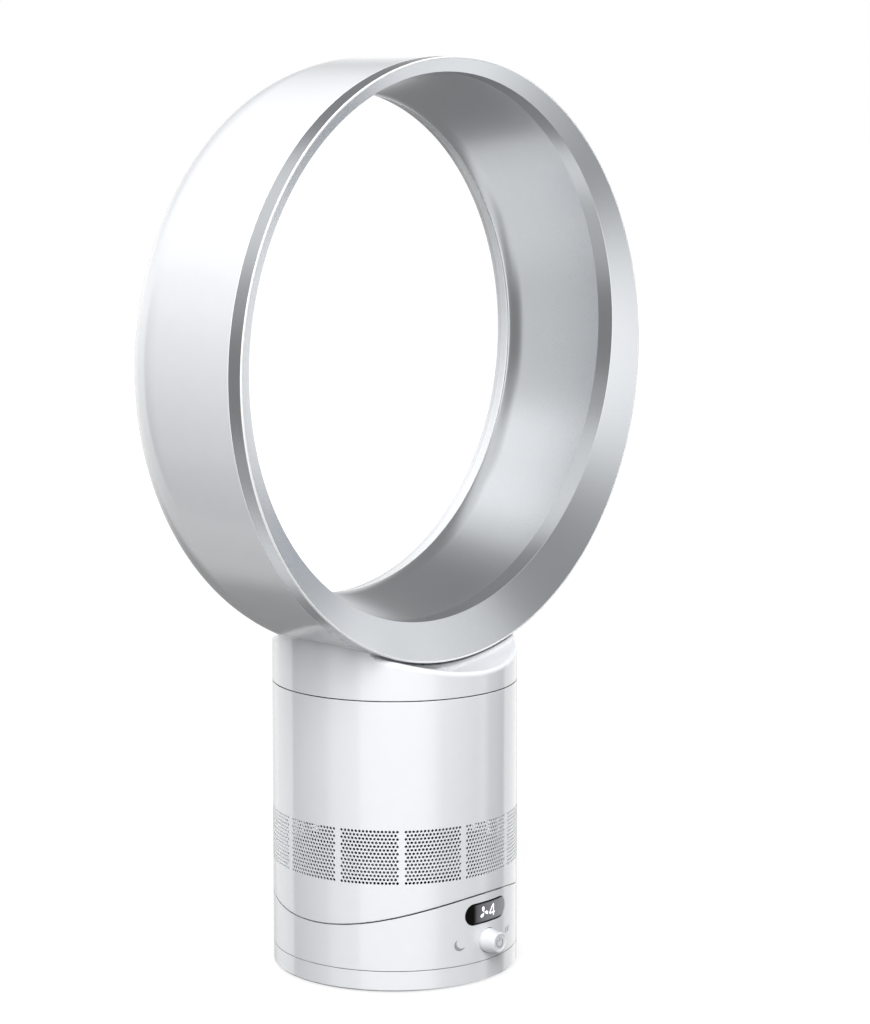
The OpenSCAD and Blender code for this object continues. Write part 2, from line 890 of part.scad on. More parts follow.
module body_shell() {
  color("white")
    difference() {
      union() {
        difference() {
          intersection() {
            cylinder(r = body_r, h = body_top, $fn = fine);
            tilt_cylinder(shoe_r);
          }
          translate([0, 0, -over]) cylinder(r = inner_r, h = body_top + 2 * over, $fn = fine);
        }
        // Ledges for the shroud and the bayonet collar
        ring(shell_ledge_in, inner_r + step, shell_ledge_top - ledge_t, ledge_t);
        ring(shell_ledge_in + ledge_t, inner_r + step, collar_low - ledge_t, ledge_t);
        // Bosses for the floor screws, each on a rib of the wall
        at_quarters(shell_boss_out, floor_pad_top) {
          cylinder(r = shell_boss_r, h = boss_h, $fn = small);
          translate([0, -wall * half, 0]) cube([inner_r + step - shell_boss_out, wall, boss_h]);
        }
      }
      grille_holes();
      at_quarters(shell_boss_out, floor_pad_top - over)
        cylinder(r = screw_r, h = boss_h - wall + over, $fn = small);
    }
}

module body_floor() {
  color("lightgray")
    difference() {
      union() {
        difference() {
          intersection() {
            cylinder(r = seat_r, h = tilt_z, $fn = fine);
            tilt_cylinder(shoe_r);
          }
          // The hollow over the floor, round the pads of the screws into the shell
          difference() {
            tilt_cylinder(shoe_top_r);
            at_quarters(shell_boss_out, 0)
              cylinder(r = shell_boss_r, h = floor_pad_top, $fn = small);
          }
        }
        for (s = [-1, 1])
          tilt_bar(shoe_r - step, keeper_top_r - bush_gap,
            s * rail_x - rail_w * half, s * rail_x + rail_w * half, rail_a);
      }
      // Way through for the lead
      cylinder(r = lead_hole_r, h = tilt_z, $fn = small);
      at_quarters(shell_boss_out, 0) {
        cylinder(r = screw_r + fit, h = tilt_z, $fn = small);
        cylinder(r = screw_head_r + fit, h = floor_screw_seat, $fn = small);
      }
      keeper_screw_places()
        translate([0, 0, -over]) cylinder(r = screw_r, h = screw_grip + over, $fn = small);
    }
}

module body_floor_screws() {
  color("silver")
    at_quarters(shell_boss_out, floor_screw_seat - screw_head_h)
      screw_up(screw_head_h + wall + screw_grip);
}

// Places of the keeper screws, with +Z towards the tilt axis and zero at the
// top of the keeper
module keeper_screw_places() {
  for (sx = [-1, 1])
    for (sa = [-1, 1])
      translate([sx * rail_x, 0, tilt_z])
        rotate([sa * rail_a * half, 0, 0])
          translate([0, 0, -keeper_top_r]) children();
}

module tilt_keepers() {
  color("gainsboro")
    difference() {
      for (s = [-1, 1])
        tilt_bar(keeper_top_r, keeper_low_r,
          s * rail_x - keeper_w * half, s * rail_x + keeper_w * half, rail_a);
      keeper_screw_places()
        translate([0, 0, -wall - over]) cylinder(r = screw_r + fit, h = wall + 2 * over, $fn = small);
    }
}

module keeper_screws() {
  color("silver")
    keeper_screw_places()
      translate([0, 0, -wall - screw_head_h])
        screw_up(screw_head_h + wall + screw_grip * half);
}

module silencer_foam() {
  color("dimgray")
    intersection() {
      ring(foam_in, foam_r, tilt_z - shoe_top_r, foam_h);
      tilt_cylinder(shoe_top_r - fit);
    }
}

module impeller_shroud() {
  mouth_r = shroud_throat_r + shroud_mouth_w + shroud_t;
  color("lightgray")
    difference() {
      rotate_extrude($fn = fine)
        polygon(concat(
          arc(mouth_r, shroud_throat_z, mouth_r - shroud_throat_r, shroud_mouth_h, 270, 180, mouth_steps),
          [
            [shroud_r, shroud_cone_z], [shroud_r, flange_z + shroud_t],
            [seat_r - fit, flange_z + shroud_t], [seat_r - fit, flange_z],
            [shroud_r + shroud_t, flange_z], [shroud_r + shroud_t, shroud_cone_z],
            [shroud_throat_r + shroud_t, shroud_throat_z + shroud_t], [mouth_r, shroud_z + shroud_t]
          ]
        ));
      shroud_screw_places()
        translate([0, 0, -over]) cylinder(r = screw_r + fit, h = shroud_t + 2 * over, $fn = small);
    }
}

// Places of the screws that hold the shroud on the ledge of the shell
module shroud_screw_places() {
  for (k = [0 : shroud_screws_n - 1])
    rotate([0, 0, shroud_screw_a + 360 * k / shroud_screws_n])
      translate([(shell_ledge_in + inner_r) * half, 0, flange_z]) children();
}

module shroud_screws() {
  color("silver")
    shroud_screw_places()
      translate([0, 0, shroud_t + screw_head_h])
        rotate([180, 0, 0])
          screw_up(screw_head_h + shroud_t + seal_t * half, screw_head_r - fit, screw_r - fit);
}

module shroud_seal() {
  color("black")
    difference() {
      ring(shell_ledge_in + fit, inner_r - fit, shell_ledge_top, seal_t);
      shroud_screw_places()
        translate([0, 0, -seal_t - over]) cylinder(r = screw_r, h = seal_t + 2 * over, $fn = small);
    }
}

// Fixed vanes between the motor bucket and the shroud
module air_straightener() {
  color("gainsboro") {
    ring(bucket_r + fit, bucket_r + vane_t, straightener_z, straightener_h);
    ring(shroud_r - vane_t, shroud_r - fit, straightener_z, straightener_h);
    for (k = [0 : vanes - 1])
      rotate([0, 0, 360 * k / vanes])
        translate([bucket_r + vane_t * half, 0, straightener_z])
          rotate([vane_lean, 0, 0])
            translate([0, -vane_t * half, vane_t])
              cube([shroud_r - bucket_r - vane_t, vane_t, straightener_h - 3 * vane_t]);
  }
}

module motor_bucket() {
  color("whitesmoke")
    difference() {
      translate([0, 0, bucket_z]) cylinder(r = bucket_r, h = bucket_h, $fn = fine);
      translate([0, 0, bucket_z + wall]) cylinder(r = bucket_r - wall, h = bucket_h, $fn = fine);
      translate([0, 0, bucket_z - over]) cylinder(r = bearing_r, h = 2 * wall, $fn = medium);
    }
}

// Domed cap, with a skirt that fits inside the bucket
module motor_bucket_cap() {
  skirt_r = bucket_r - wall - fit;
  color("whitesmoke")
    rotate_extrude($fn = fine)
      polygon(concat(
        [[skirt_r - wall, bucket_top - wall], [skirt_r, bucket_top - wall], [skirt_r, bucket_top]],
        arc(cap_nose_r, bucket_top, bucket_r - cap_nose_r, cap_h, 0, 90, dome_steps),
        [[0, bucket_top + cap_h], [0, bucket_top + cap_h - wall]],
        arc(cap_nose_r, bucket_top, skirt_r - wall - cap_nose_r, cap_h - wall, 90, 0, dome_steps)
      ));
}

// Deep-drawn can, with the seat of the lower bearing in its floor
module motor_can() {
  color("silver")
    rotate_extrude($fn = fine)
      polygon([
        [bearing_r - can_wall, can_low], [can_r, can_low], [can_r, can_top],
        [can_r - can_wall, can_top], [can_r - can_wall, can_low + can_wall],
        [bearing_r + can_wall, can_low + can_wall], [bearing_r + can_wall, can_floor],
        [bearing_r + bush_gap, can_floor], [bearing_r + bush_gap, can_low + can_wall],
        [bearing_r - can_wall, can_low + can_wall]
      ]);
}

// Lid of the can, with the seat of the upper bearing
module motor_can_cover() {
  seat_low = can_top + cover_t - bearing_w;
  color("silver")
    rotate_extrude($fn = fine)
      polygon([
        [bearing_r + bush_gap, seat_low], [bearing_r + can_wall, seat_low],
        [bearing_r + can_wall, can_top], [can_r, can_top], [can_r, can_top + cover_t],
        [bearing_r + can_wall, can_top + cover_t], [bearing_r + can_wall, can_top + cover_t + can_wall],
        [bearing_r - can_wall, can_top + cover_t + can_wall], [bearing_r - can_wall, can_top + cover_t],
        [bearing_r + bush_gap, can_top + cover_t]
      ]);
}

// Yoke and poles of the laminated stator
module motor_stator() {
  color("slategray")
    difference() {
      union() {
        ring(yoke_r, can_r - can_wall - fit, stator_low, stator_h, medium);
        for (k = [0 : poles - 1])
          rotate([0, 0, 360 * k / poles])
            translate([rotor_r, -pole_w * half, stator_low])
              cube([yoke_r + step - rotor_r, pole_w, stator_h]);
      }
      translate([0, 0, stator_low - over])
        cylinder(r = rotor_r + rotor_gap, h = stator_h + 2 * over, $fn = medium);
    }
}

// One coil round each pole
module stator_windings() {
  coil_in = rotor_r + rotor_gap + step;
  bobbin_w = pole_w + 2 * fit;
  coil_l = sqrt(pow(yoke_r, 2) - pow(bobbin_w * half + coil_t, 2)) - coil_in - fit;
  color("chocolate")
    for (k = [0 : poles - 1])
      rotate([0, 0, 360 * k / poles])
        translate([coil_in, 0, stator_low])
          difference() {
            translate([0, -bobbin_w * half - coil_t, -coil_reach])
              cube([coil_l, bobbin_w + 2 * coil_t, stator_h + 2 * coil_reach]);
            translate([-over, -bobbin_w * half, -fit])
              cube([coil_l + 2 * over, bobbin_w, stator_h + 2 * fit]);
          }
}

// A ball bearing: two races, with the balls and their cage as the ring between them
module bearing(z) {
  color("lightsteelblue") {
    ring(shaft_r + bush_gap, shaft_r + race_t, z, bearing_w, medium);
    ring(bearing_r - race_t, bearing_r, z, bearing_w, medium);
    ring(shaft_r + race_t * half, bearing_r - race_t * half, z + edge_r, bearing_w - 2 * edge_r, medium);
  }
}

module lower_bearing() {
  bearing(can_low + can_wall);
}

module upper_bearing() {
  bearing(can_top + cover_t - bearing_w);
}

// Collar at the top of the body, with a track for each lug of the loop's spigot
module bayonet_collar() {
  floor_in = spigot_r - spigot_t - step;
  color("lightgray")
    difference() {
      rotate_extrude($fn = fine)
        polygon([
          [floor_in, collar_low], [seat_r, collar_low], [seat_r, body_top],
          [collar_in, body_top], [collar_in, collar_low + wall], [floor_in, collar_low + wall]
        ]);
      for (k = [0 : lugs - 1])
        rotate([0, 0, 360 * k / lugs]) {
          // The track that a lug turns along, and the way in for it from above
          lug_sector(spigot_r - over, lug_out_r + run_gap,
            lug_low - run_gap, lug_h + 2 * run_gap,
            -lug_a * half - lug_play_a, unlock_a);
          lug_sector(spigot_r - over, lug_out_r + 2 * run_gap,
            lug_low - 2 * run_gap, collar_z - lug_low + over,
            unlock_a - lug_a * half - lug_play_a, unlock_a + lug_a * half + lug_play_a);
        }
    }
}

// A sector of a ring between two angles
module lug_sector(r_in, r_out, z, h, a0, a1) {
  translate([0, 0, z])
    rotate([0, 0, a0])
      rotate_extrude(angle = a1 - a0, $fn = fine)
        polygon([[r_in, 0], [r_out, 0], [r_out, h], [r_in, h]]);
}

module collar_seal() {
  color("black")
    ring(spigot_r - spigot_t, spigot_r, collar_low + wall, collar_seal_t);
}

// The impeller and what turns with it

// Height of the hub's flare at a share of it, and its radius at a height
function hub_z(share) = hub_low_z + (hub_top_z - hub_low_z) * share;
function hub_radius(z) = hub_nose_r + hub_nose_w
  + (hub_r - hub_nose_r - hub_nose_w) * pow((z - hub_low_z) / (hub_top_z - hub_low_z), hub_flare);

// Radius of the blades' tips at a height, just inside the shroud
function tip_radius(z) = shroud_throat_r - blade_gap
  + (shroud_r - shroud_throat_r) * (z - shroud_throat_z) / (shroud_cone_z - shroud_throat_z);

// One blade: a thin curved sheet from the hub to just inside the shroud
module blade() {
  stations = [for (i = [0 : blade_steps]) i / blade_steps];
  points = [
    for (s = stations)
      let (
        z = blade_low + (blade_high - blade_low) * s,
        a = -blade_sweep * pow(s, sweep_flare),
        rh = hub_radius(z) - blade_t,
        rt = tip_radius(z),
        dh = blade_t * half / rh * 180 / PI,
        dt = blade_t * half / rt * 180 / PI
      )
      each [
        [rh * cos(a - dh), rh * sin(a - dh), z], [rt * cos(a - dt), rt * sin(a - dt), z],
        [rt * cos(a + dt), rt * sin(a + dt), z], [rh * cos(a + dh), rh * sin(a + dh), z]
      ]
  ];
  last = 4 * blade_steps;
  polyhedron(points, concat(
    [[0, 1, 2], [0, 2, 3], [last + 2, last + 1, last], [last + 3, last + 2, last]],
    [for (i = [0 : blade_steps - 1]) for (k = [0 : 3])
      [4 * i + k, 4 * i + 4 + k, 4 * i + 4 + (k + 1) % 4]],
    [for (i = [0 : blade_steps - 1]) for (k = [0 : 3])
      [4 * i + k, 4 * i + 4 + (k + 1) % 4, 4 * i + (k + 1) % 4]]
  ));
}

module impeller() {
  color("gray")
    difference() {
      union() {
        rotate_extrude($fn = medium)
          polygon(concat(
            [[0, hub_low_z - step], [hub_nose_r, hub_low_z - step]],
            [for (i = [0 : blade_steps]) let (z = hub_z(i / blade_steps)) [hub_radius(z), z]],
            [[hub_r, hub_top_z + back_plate_t], [0, hub_top_z + back_plate_t]]
          ));
        for (k = [0 : blades - 1])
          rotate([0, 0, 360 * k / blades]) blade();
      }
      translate([0, 0, hub_low_z - 2 * over])
        cylinder(r = shaft_r + press_gap, h = bucket_z, $fn = medium);
    }
}

module impeller_nut() {
  color("gold")
    difference() {
      translate([0, 0, shaft_nut_low]) cylinder(r = shaft_r + nut_h, h = nut_h, $fn = 6);
      translate([0, 0, shaft_nut_low - over])
        cylinder(r = shaft_r + press_gap, h = nut_h + 2 * over, $fn = medium);
    }
}

module motor_shaft() {
  color("silver")
    translate([0, 0, shaft_nut_low - step])
      cylinder(r = shaft_r, h = can_top + cover_t - shaft_nut_low + step, $fn = medium);
}

module motor_rotor() {
  color("dimgray")
    ring(shaft_r + press_gap, rotor_r, rotor_low, rotor_h, medium);
}

// The loop

// Outside of the white casing as a solid from a depth y, drawn in by t
function casing_points(t, y) = concat(
  [[0, y], [loop_r - t, y]],
  arc(loop_r - shoulder_r, loop_back - shoulder_l, shoulder_r - t, shoulder_l - t, 0, 90, round_steps),
  [[0, loop_back - t]]
);

module outer_casing() {
  color("white")
    difference() {
      union() {
        difference() {
          across(loop_z, casing_points(0, casing_front));
          across(loop_z, casing_points(wall, casing_front - over));
        }
        // The lip over the outlet slot
        across(diffuser_z, [
          [lip_r - over, lip_y], [lip_r + lip_tip_t, lip_y],
          [lip_r + lip_base_t, loop_back - nose_r], [lip_r + lip_base_t, loop_back - wall * half],
          [lip_r - over, loop_back - wall * half]
        ]);
        // The neck, with its ledges in front of and behind the loop
        difference() {
          translate([0, 0, neck_low])
            cylinder(r = body_r, h = loop_low_z(ledge_r, body_r) - neck_low + over, $fn = fine);
          across(loop_z, [
            [0, -body_r - over], [loop_r + rim_gap + ledge_fall, -body_r - over],
            [loop_r + rim_gap + ledge_fall, -body_r], [loop_r + rim_gap, casing_front], [0, casing_front]
          ]);
          across_cylinder(loop_z, ledge_r, casing_front - fit, body_r + over);
        }
      }
      // The hole through the loop, rounded out to the back
      across(diffuser_z, concat(
        [[0, -body_r], [lip_r, -body_r], [lip_r, loop_back - nose_r]],
        arc(lip_r + nose_r, loop_back - nose_r, nose_r, nose_r, 180, 90, round_steps),
        [[lip_r + nose_r, loop_back + over], [0, loop_back + over]]
      ));
      neck_passage();
    }
}

// The air's way up through the neck into the loop
module neck_passage() {
  front_y = casing_front + wall;
  rear_y = loop_back - shoulder_l * half;
  pass_top = loop_low_z(loop_r - wall, inner_r) + over;
  intersection() {
    translate([0, 0, neck_low - over]) cylinder(r = inner_r, h = pass_top - neck_low + over, $fn = fine);
    union() {
      translate([-body_r, front_y, 0]) cube([body_d, rear_y - front_y, loop_z]);
      difference() {
        translate([-body_r, -body_r, 0]) cube([body_d, body_r + front_y + over, loop_z]);
        across_cylinder(loop_z, loop_r + rim_gap + ledge_fall + wall, -body_r - over, front_y + 2 * over);
      }
      difference() {
        translate([-body_r, rear_y - over, 0]) cube([body_d, body_r, loop_z]);
        across_cylinder(loop_z, ledge_r + wall, rear_y - 2 * over, body_r + over);
      }
    }
  }
}

// Everything in front of the front taper
module taper_cut() {
  across(loop_z, [
    [0, -loop_front - over], [loop_r + over / taper_k, -loop_front - over],
    [0, -loop_front + loop_r * taper_k]
  ]);
}

// The metallic front: outside band, front taper and guide band
module front_ring() {
  shell_y = ring_t / sin(taper_a);
  lap_y = throat_y - (guide_r - guide_rise + diffuser_rise - throat_r) / tan(diffuser_a) + 2 * step;
  color("silver")
    difference() {
      union() {
        across(loop_z, [
          [loop_r, casing_front], [loop_r, -loop_front], [taper_in, -loop_front],
          [taper_in, -loop_front + (loop_r - taper_in) * taper_k + shell_y],
          [loop_r - wall, -loop_front + wall * taper_k + shell_y], [loop_r - wall, casing_front]
        ]);
        difference() {
          across_cylinder(guide_z, guide_r + ring_t, -loop_front, lap_y);
          across(loop_z, [
            [loop_r - wall, -loop_front - over], [loop_r * 2, -loop_front - over],
            [loop_r * 2, lap_y + over], [loop_r - wall, lap_y + over]
          ]);
        }
      }
      across_cylinder(guide_z, guide_r, -loop_front - over, lap_y + over);
      taper_cut();
    }
}

// The diffuser and the curved surface that the air follows out of the slot
module inner_casing() {
  start_y = throat_y - (guide_r - throat_r) / tan(diffuser_a) - band_w;
  back_r = coanda_r - ring_t;
  color("silver")
    intersection() {
      across(diffuser_z, concat(
        [[diffuser_r(start_y), start_y]],
        arc(coanda_cr, coanda_cy, coanda_r, coanda_r, 180 + diffuser_a, coanda_end_a, round_steps),
        arc(coanda_cr, coanda_cy, back_r, back_r, coanda_end_a, 180 + diffuser_a, round_steps),
        [[diffuser_r(start_y) + ring_t / cos(diffuser_a), start_y]]
      ));
      union() {
        across_cylinder(guide_z, guide_r - bush_gap, start_y - over, throat_y);
        across_cylinder(diffuser_z, loop_r, throat_y - over, loop_back);
      }
    }
}

// Small webs that hold the outlet slot open
module slot_spacers() {
  spacer_y = lip_y + slot_w;
  lip_slope = (lip_base_t - lip_tip_t) / (loop_back - nose_r - lip_y);
  clear_r = coanda_r + fit;
  color("silver")
    intersection() {
      difference() {
        across(diffuser_z, [
          [lip_r + lip_tip_t + fit, lip_y], [coanda_cr, lip_y],
          [coanda_cr, spacer_y], [lip_r + lip_tip_t + fit + slot_w * lip_slope, spacer_y]
        ]);
        across(diffuser_z, arc(coanda_cr, coanda_cy, clear_r, clear_r, 90, 450, 4 * round_steps));
      }
      translate([0, 0, diffuser_z])
        for (k = [0 : spacers - 1])
          rotate([0, 360 * k / spacers, 0])
            translate([-spacer_w * half, lip_y, 0])
              cube([spacer_w, wall, loop_r]);
    }
}

module loop_spigot() {
  color("lightgray")
    difference() {
      union() {
        rotate_extrude($fn = fine)
          polygon([
            [spigot_r - spigot_t, spigot_low], [spigot_r, spigot_low], [spigot_r, neck_low],
            [seat_r, neck_low], [seat_r, neck_low + spigot_flange_t],
            [spigot_r - spigot_t, neck_low + spigot_flange_t]
          ]);
        for (k = [0 : lugs - 1])
          rotate([0, 0, 360 * k / lugs])
            lug_sector(spigot_r - step, lug_out_r, lug_low, lug_h, -lug_a * half, lug_a * half);
      }
      spigot_screw_places()
        translate([0, 0, -over]) cylinder(r = screw_r + fit, h = spigot_flange_t + 2 * over, $fn = small);
    }
}

// Places of the screws that hold the spigot under the neck
module spigot_screw_places() {
  for (k = [0 : spigot_screws_n - 1])
    rotate([0, 0, 360 * (k + half) / spigot_screws_n])
      translate([(spigot_r + seat_r) * half, 0, neck_low]) children();
}

module spigot_screws() {
  color("silver")
    spigot_screw_places()
      translate([0, 0, spigot_flange_t + screw_head_h])
        rotate([180, 0, 0])
          screw_up(screw_head_h + spigot_flange_t - run_gap);
}

foot_shell();
rubber_foot_ring();
swivel_gear();
gear_screws();
power_inlet();
inlet_pin();
swivel_washer();
swivel_nut();
control_housing();
control_floor();
floor_screws();
tilt_runners();
display_window();
display_module();
control_board();
button_switch();
remote_receiver();
main_board();
board_parts();
swivel_motor();
swivel_motor_shaft();
swivel_pinion();
power_button();
body_shell();
body_floor();
body_floor_screws();
tilt_keepers();
keeper_screws();
silencer_foam();
impeller_shroud();
shroud_seal();
shroud_screws();
air_straightener();
motor_bucket();
motor_bucket_cap();
motor_can();
motor_can_cover();
motor_stator();
stator_windings();
lower_bearing();
upper_bearing();
bayonet_collar();
collar_seal();
impeller();
impeller_nut();
motor_shaft();
motor_rotor();
outer_casing();
inner_casing();
front_ring();
slot_spacers();
loop_spigot();
spigot_screws();
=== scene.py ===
"""Looks of a bladeless desk fan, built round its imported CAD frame.

Lengths in the classes are millimetres, in the frame of the CAD model: the front of
the fan faces -Y, +Z is up and the origin is on the table under the axis of the body.
"""

import json
import logging
import math
from dataclasses import dataclass
from enum import Enum
from typing import Any, Callable, Sequence

import bmesh
import bpy
from mathutils import Euler, Matrix, Vector


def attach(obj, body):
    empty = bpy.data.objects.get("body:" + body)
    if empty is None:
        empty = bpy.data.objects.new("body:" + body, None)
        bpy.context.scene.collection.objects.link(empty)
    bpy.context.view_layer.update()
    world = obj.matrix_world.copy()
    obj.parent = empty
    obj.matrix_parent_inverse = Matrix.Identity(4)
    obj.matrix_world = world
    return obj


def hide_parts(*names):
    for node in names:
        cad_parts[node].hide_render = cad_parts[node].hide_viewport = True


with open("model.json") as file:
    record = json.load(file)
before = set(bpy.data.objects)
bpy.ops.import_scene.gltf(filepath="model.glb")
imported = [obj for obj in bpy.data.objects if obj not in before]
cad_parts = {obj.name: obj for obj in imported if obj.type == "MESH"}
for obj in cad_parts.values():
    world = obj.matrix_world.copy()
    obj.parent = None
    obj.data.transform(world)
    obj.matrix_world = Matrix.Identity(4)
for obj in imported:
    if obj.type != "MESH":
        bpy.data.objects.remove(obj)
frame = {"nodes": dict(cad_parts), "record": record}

LOG = logging.getLogger("bladeless_fan")
Point = tuple[float, float, float]
Place = tuple[float, float]
# The two ends of a range, or two values of one feature
Span = tuple[float, float]
Colour = tuple[float, float, float, float]
# Two sides of a flat strip, row by row: X, Z, X and Z
Strip = list[tuple[float, float, float, float]]

# A millimetre in metres
MM = 0.001
# Points nearer to each other than this, in millimetres, are one
MERGE = 0.002
# Turn between two faces, in degrees, from which their edge shows as a line
SHARP = 40.0
# The wave texture repeats after this length at a scale of one
WAVE_PERIOD = math.pi / 10
WHITE: Colour = (1.0, 1.0, 1.0, 1.0)


def to_linear(code: str) -> Colour:
    """Turns an sRGB colour into the linear one that a shader takes, by the standard's curve.

    Args:
        code: The colour as six hex digits after a hash.

    Returns:
        The linear red, green and blue, with an alpha of one.
    """
    parts = [int(code[i:i + 2], 16) / 255 for i in (1, 3, 5)]
    red, green, blue = (
        c / 12.92 if c <= 0.04045 else ((c + 0.055) / 1.055) ** 2.4 for c in parts
    )
    return (red, green, blue, 1.0)


def add_node(
    tree: bpy.types.NodeTree, kind: str, inputs: dict[str | int, Any] | None = None, **settings: Any
) -> bpy.types.Node:
    """Adds a node with its settings and the links into it.

    Args:
        tree: The node tree.
        kind: The node's type name.
        inputs: The value of each named or numbered input, or the output that it is joined to.
        **settings: Values of the node's properties.

    Returns:
        The new node.
    """
    node = tree.nodes.new(kind)
    for name, value in settings.items():
        setattr(node, name, value)
    for name, value in (inputs or {}).items():
        if isinstance(value, bpy.types.NodeSocket):
            tree.links.new(value, node.inputs[name])
        else:
            node.inputs[name].default_value = value
    return node


class Pattern(Enum):
    """What a surface shows of the way it was made."""

    GRAIN = "the texture of a mould or a casting"
    FLAKE = "the flakes of a lacquer or the crystals of a plating"
    CELLS = "the open cells of a foam"
    LAYERS = "stacked sheets, or turns of wire that lie on each other"
    TURNS = "the rings of a lathe tool"


@dataclass(frozen=True)
class Finish:
    """A material and the way its surface was made.

    Attributes:
        name: The maker's name of the material.
        colour: sRGB hex colour.
        tint: sRGB hex colour of the places that the pattern marks.
        roughness: Roughness of the shader.
        haze: How far the roughness changes over the surface.
        metallic: Metallic share of the shader.
        ior: Index of refraction, or none for the shader's own.
        coat: Weight of a clear coat.
        pattern: What the surface shows of its making.
        size_mm: Size of the pattern.
        depth_mm: Depth of the pattern.
        haze_mm: Size of the patches of haze.
        glow: Strength of its own light.
    """

    name: str
    colour: str
    tint: str
    roughness: float
    haze: float = 0.04
    metallic: float = 0.0
    ior: float | None = 1.5
    coat: float = 0.0
    pattern: Pattern = Pattern.GRAIN
    size_mm: float = 1.0
    depth_mm: float = 0.01
    haze_mm: float = 18.0
    glow: float = 0.0

    def pattern_output(
        self, tree: bpy.types.NodeTree, where: bpy.types.NodeSocket
    ) -> bpy.types.NodeSocket:
        """Draws the pattern of the surface.

        Args:
            tree: The material's node tree.
            where: The place on the object, in metres.

        Returns:
            The output that holds the pattern, from zero to one.
        """
        scale = 1 / (self.size_mm * MM)
        if self.pattern is Pattern.GRAIN:
            return add_node(
                tree, "ShaderNodeTexNoise", {"Vector": where, "Scale": scale, "Detail": 3.0}
            ).outputs["Fac"]
        if self.pattern in (Pattern.FLAKE, Pattern.CELLS):
            cells = add_node(tree, "ShaderNodeTexVoronoi", {"Vector": where, "Scale": scale})
            return cells.outputs["Color" if self.pattern is Pattern.FLAKE else "Distance"]
        bands = "BANDS" if self.pattern is Pattern.LAYERS else "RINGS"
        return add_node(
            tree, "ShaderNodeTexWave", {"Vector": where, "Scale": scale * WAVE_PERIOD},
            wave_type=bands, bands_direction="Z", rings_direction="Z",
        ).outputs["Fac"]

    def material(self) -> bpy.types.Material:
        """Builds the material, once for each name.

        Returns:
            The material.
        """
        found = bpy.data.materials.get(self.name)
        if found:
            return found
        material = bpy.data.materials.new(self.name)
        material.use_nodes = True
        tree = material.node_tree
        shader = tree.nodes["Principled BSDF"]
        where = add_node(tree, "ShaderNodeTexCoord").outputs["Object"]
        pattern = self.pattern_output(tree, where)
        patches = add_node(
            tree, "ShaderNodeTexNoise", {"Vector": where, "Scale": 1 / (self.haze_mm * MM)}
        )
        colour = add_node(
            tree, "ShaderNodeMix",
            {0: pattern, "A": to_linear(self.colour), "B": to_linear(self.tint)}, data_type="RGBA",
        )
        haze = add_node(tree, "ShaderNodeMapRange", {
            0: patches.outputs["Fac"], 3: self.roughness - self.haze, 4: self.roughness + self.haze,
        })
        bump = add_node(tree, "ShaderNodeBump", {"Height": pattern, "Distance": self.depth_mm * MM})
        tree.links.new(colour.outputs["Result"], shader.inputs["Base Color"])
        tree.links.new(haze.outputs[0], shader.inputs["Roughness"])
        tree.links.new(bump.outputs[0], shader.inputs["Normal"])
        shader.inputs["Metallic"].default_value = self.metallic
        shader.inputs["Coat Weight"].default_value = self.coat
        if self.ior:
            shader.inputs["IOR"].default_value = self.ior
        if self.glow:
            shader.inputs["Emission Color"].default_value = to_linear(self.colour)
            shader.inputs["Emission Strength"].default_value = self.glow
        return material


# Moulded in a polished tool and clear-coated: a deep white with crisp reflections, which
# waver a little where the wall sank over its ribs
WHITE_ABS = Finish(
    "gloss_white_abs", "#E9EBEE", "#E6E8EC", 0.2, ior=1.53, coat=1.0, size_mm=9.0, depth_mm=0.006,
)
# Lacquered with fine aluminium flake: a satin silver whose flakes, 0.03 mm on the real
# one, are drawn at 0.7 mm to show as a faint sparkle
SILVER_LACQUER = Finish(
    "silver_lacquered_abs", "#CFD2D5", "#CACDD1", 0.26, haze=0.008, metallic=1.0, ior=None,
    pattern=Pattern.FLAKE, size_mm=0.7, depth_mm=0.0003, haze_mm=60.0,
)
# A pale lacquer, nearly white, on the inner face of the rear lip. The same finish on the rounding of
# the front rim is a painted highlight:
# a pale line that stands for the light which the sharp silver edge catches
PALE_LIP_AND_RIM_HIGHLIGHT = Finish(
    "pale_lip_and_painted_rim_highlight", "#F6F7F8", "#EEF0F2", 0.3, haze=0.02, metallic=0.15,
    pattern=Pattern.FLAKE, size_mm=0.7, depth_mm=0.0003,
)
# Moulded and polished: almost black. The photographed one mirrors next to nothing, so its
# IOR is under the 1.49 of acrylic and its gloss is soft
SMOKED_ACRYLIC = Finish(
    "smoked_acrylic", "#010101", "#030304", 0.1, haze=0.02, ior=1.25, size_mm=4.0,
    depth_mm=0.002,
)
# Light from behind through a diffusing film: an even white
LIT_MASK = Finish(
    "lit_display_mask", "#FFFFFF", "#F6F8FA", 0.4, size_mm=0.5, depth_mm=0.002, glow=0.9
)
# Pad-printed ink: a matt grey, thin enough to let the white through in places
PRINT_INK = Finish("grey_pad_print", "#8F9498", "#A4A9AD", 0.5, size_mm=0.4, depth_mm=0.005)
# Moulded in a spark-eroded tool: matt, with a fine grain
GREY_PP = Finish("grey_polypropylene", "#9EA2A6", "#94989C", 0.5, size_mm=0.6, depth_mm=0.02)
# Moulded and unpigmented: a waxy cream with faint flow marks
NYLON = Finish("natural_nylon", "#E4E0D2", "#D8D3C2", 0.42, size_mm=5.0, depth_mm=0.01)
# Glass fibres float up to its skin and leave it dull and mottled
GLASS_NYLON = Finish("glass_filled_nylon", "#2F3135", "#45484D", 0.5, size_mm=0.9, depth_mm=0.015)
# Moulded in a spark-eroded tool: a dull black
BLACK_PP = Finish("black_polypropylene", "#141416", "#1D1D20", 0.48, size_mm=0.6, depth_mm=0.02)
# Painted shade: flat black inside the inlet that stands for the shade behind the holes, and hides
# what lies behind them
PAINTED_INLET_SHADE = Finish("painted_inlet_shade", "#232427", "#2C2D31", 0.85, size_mm=0.6, depth_mm=0.02)
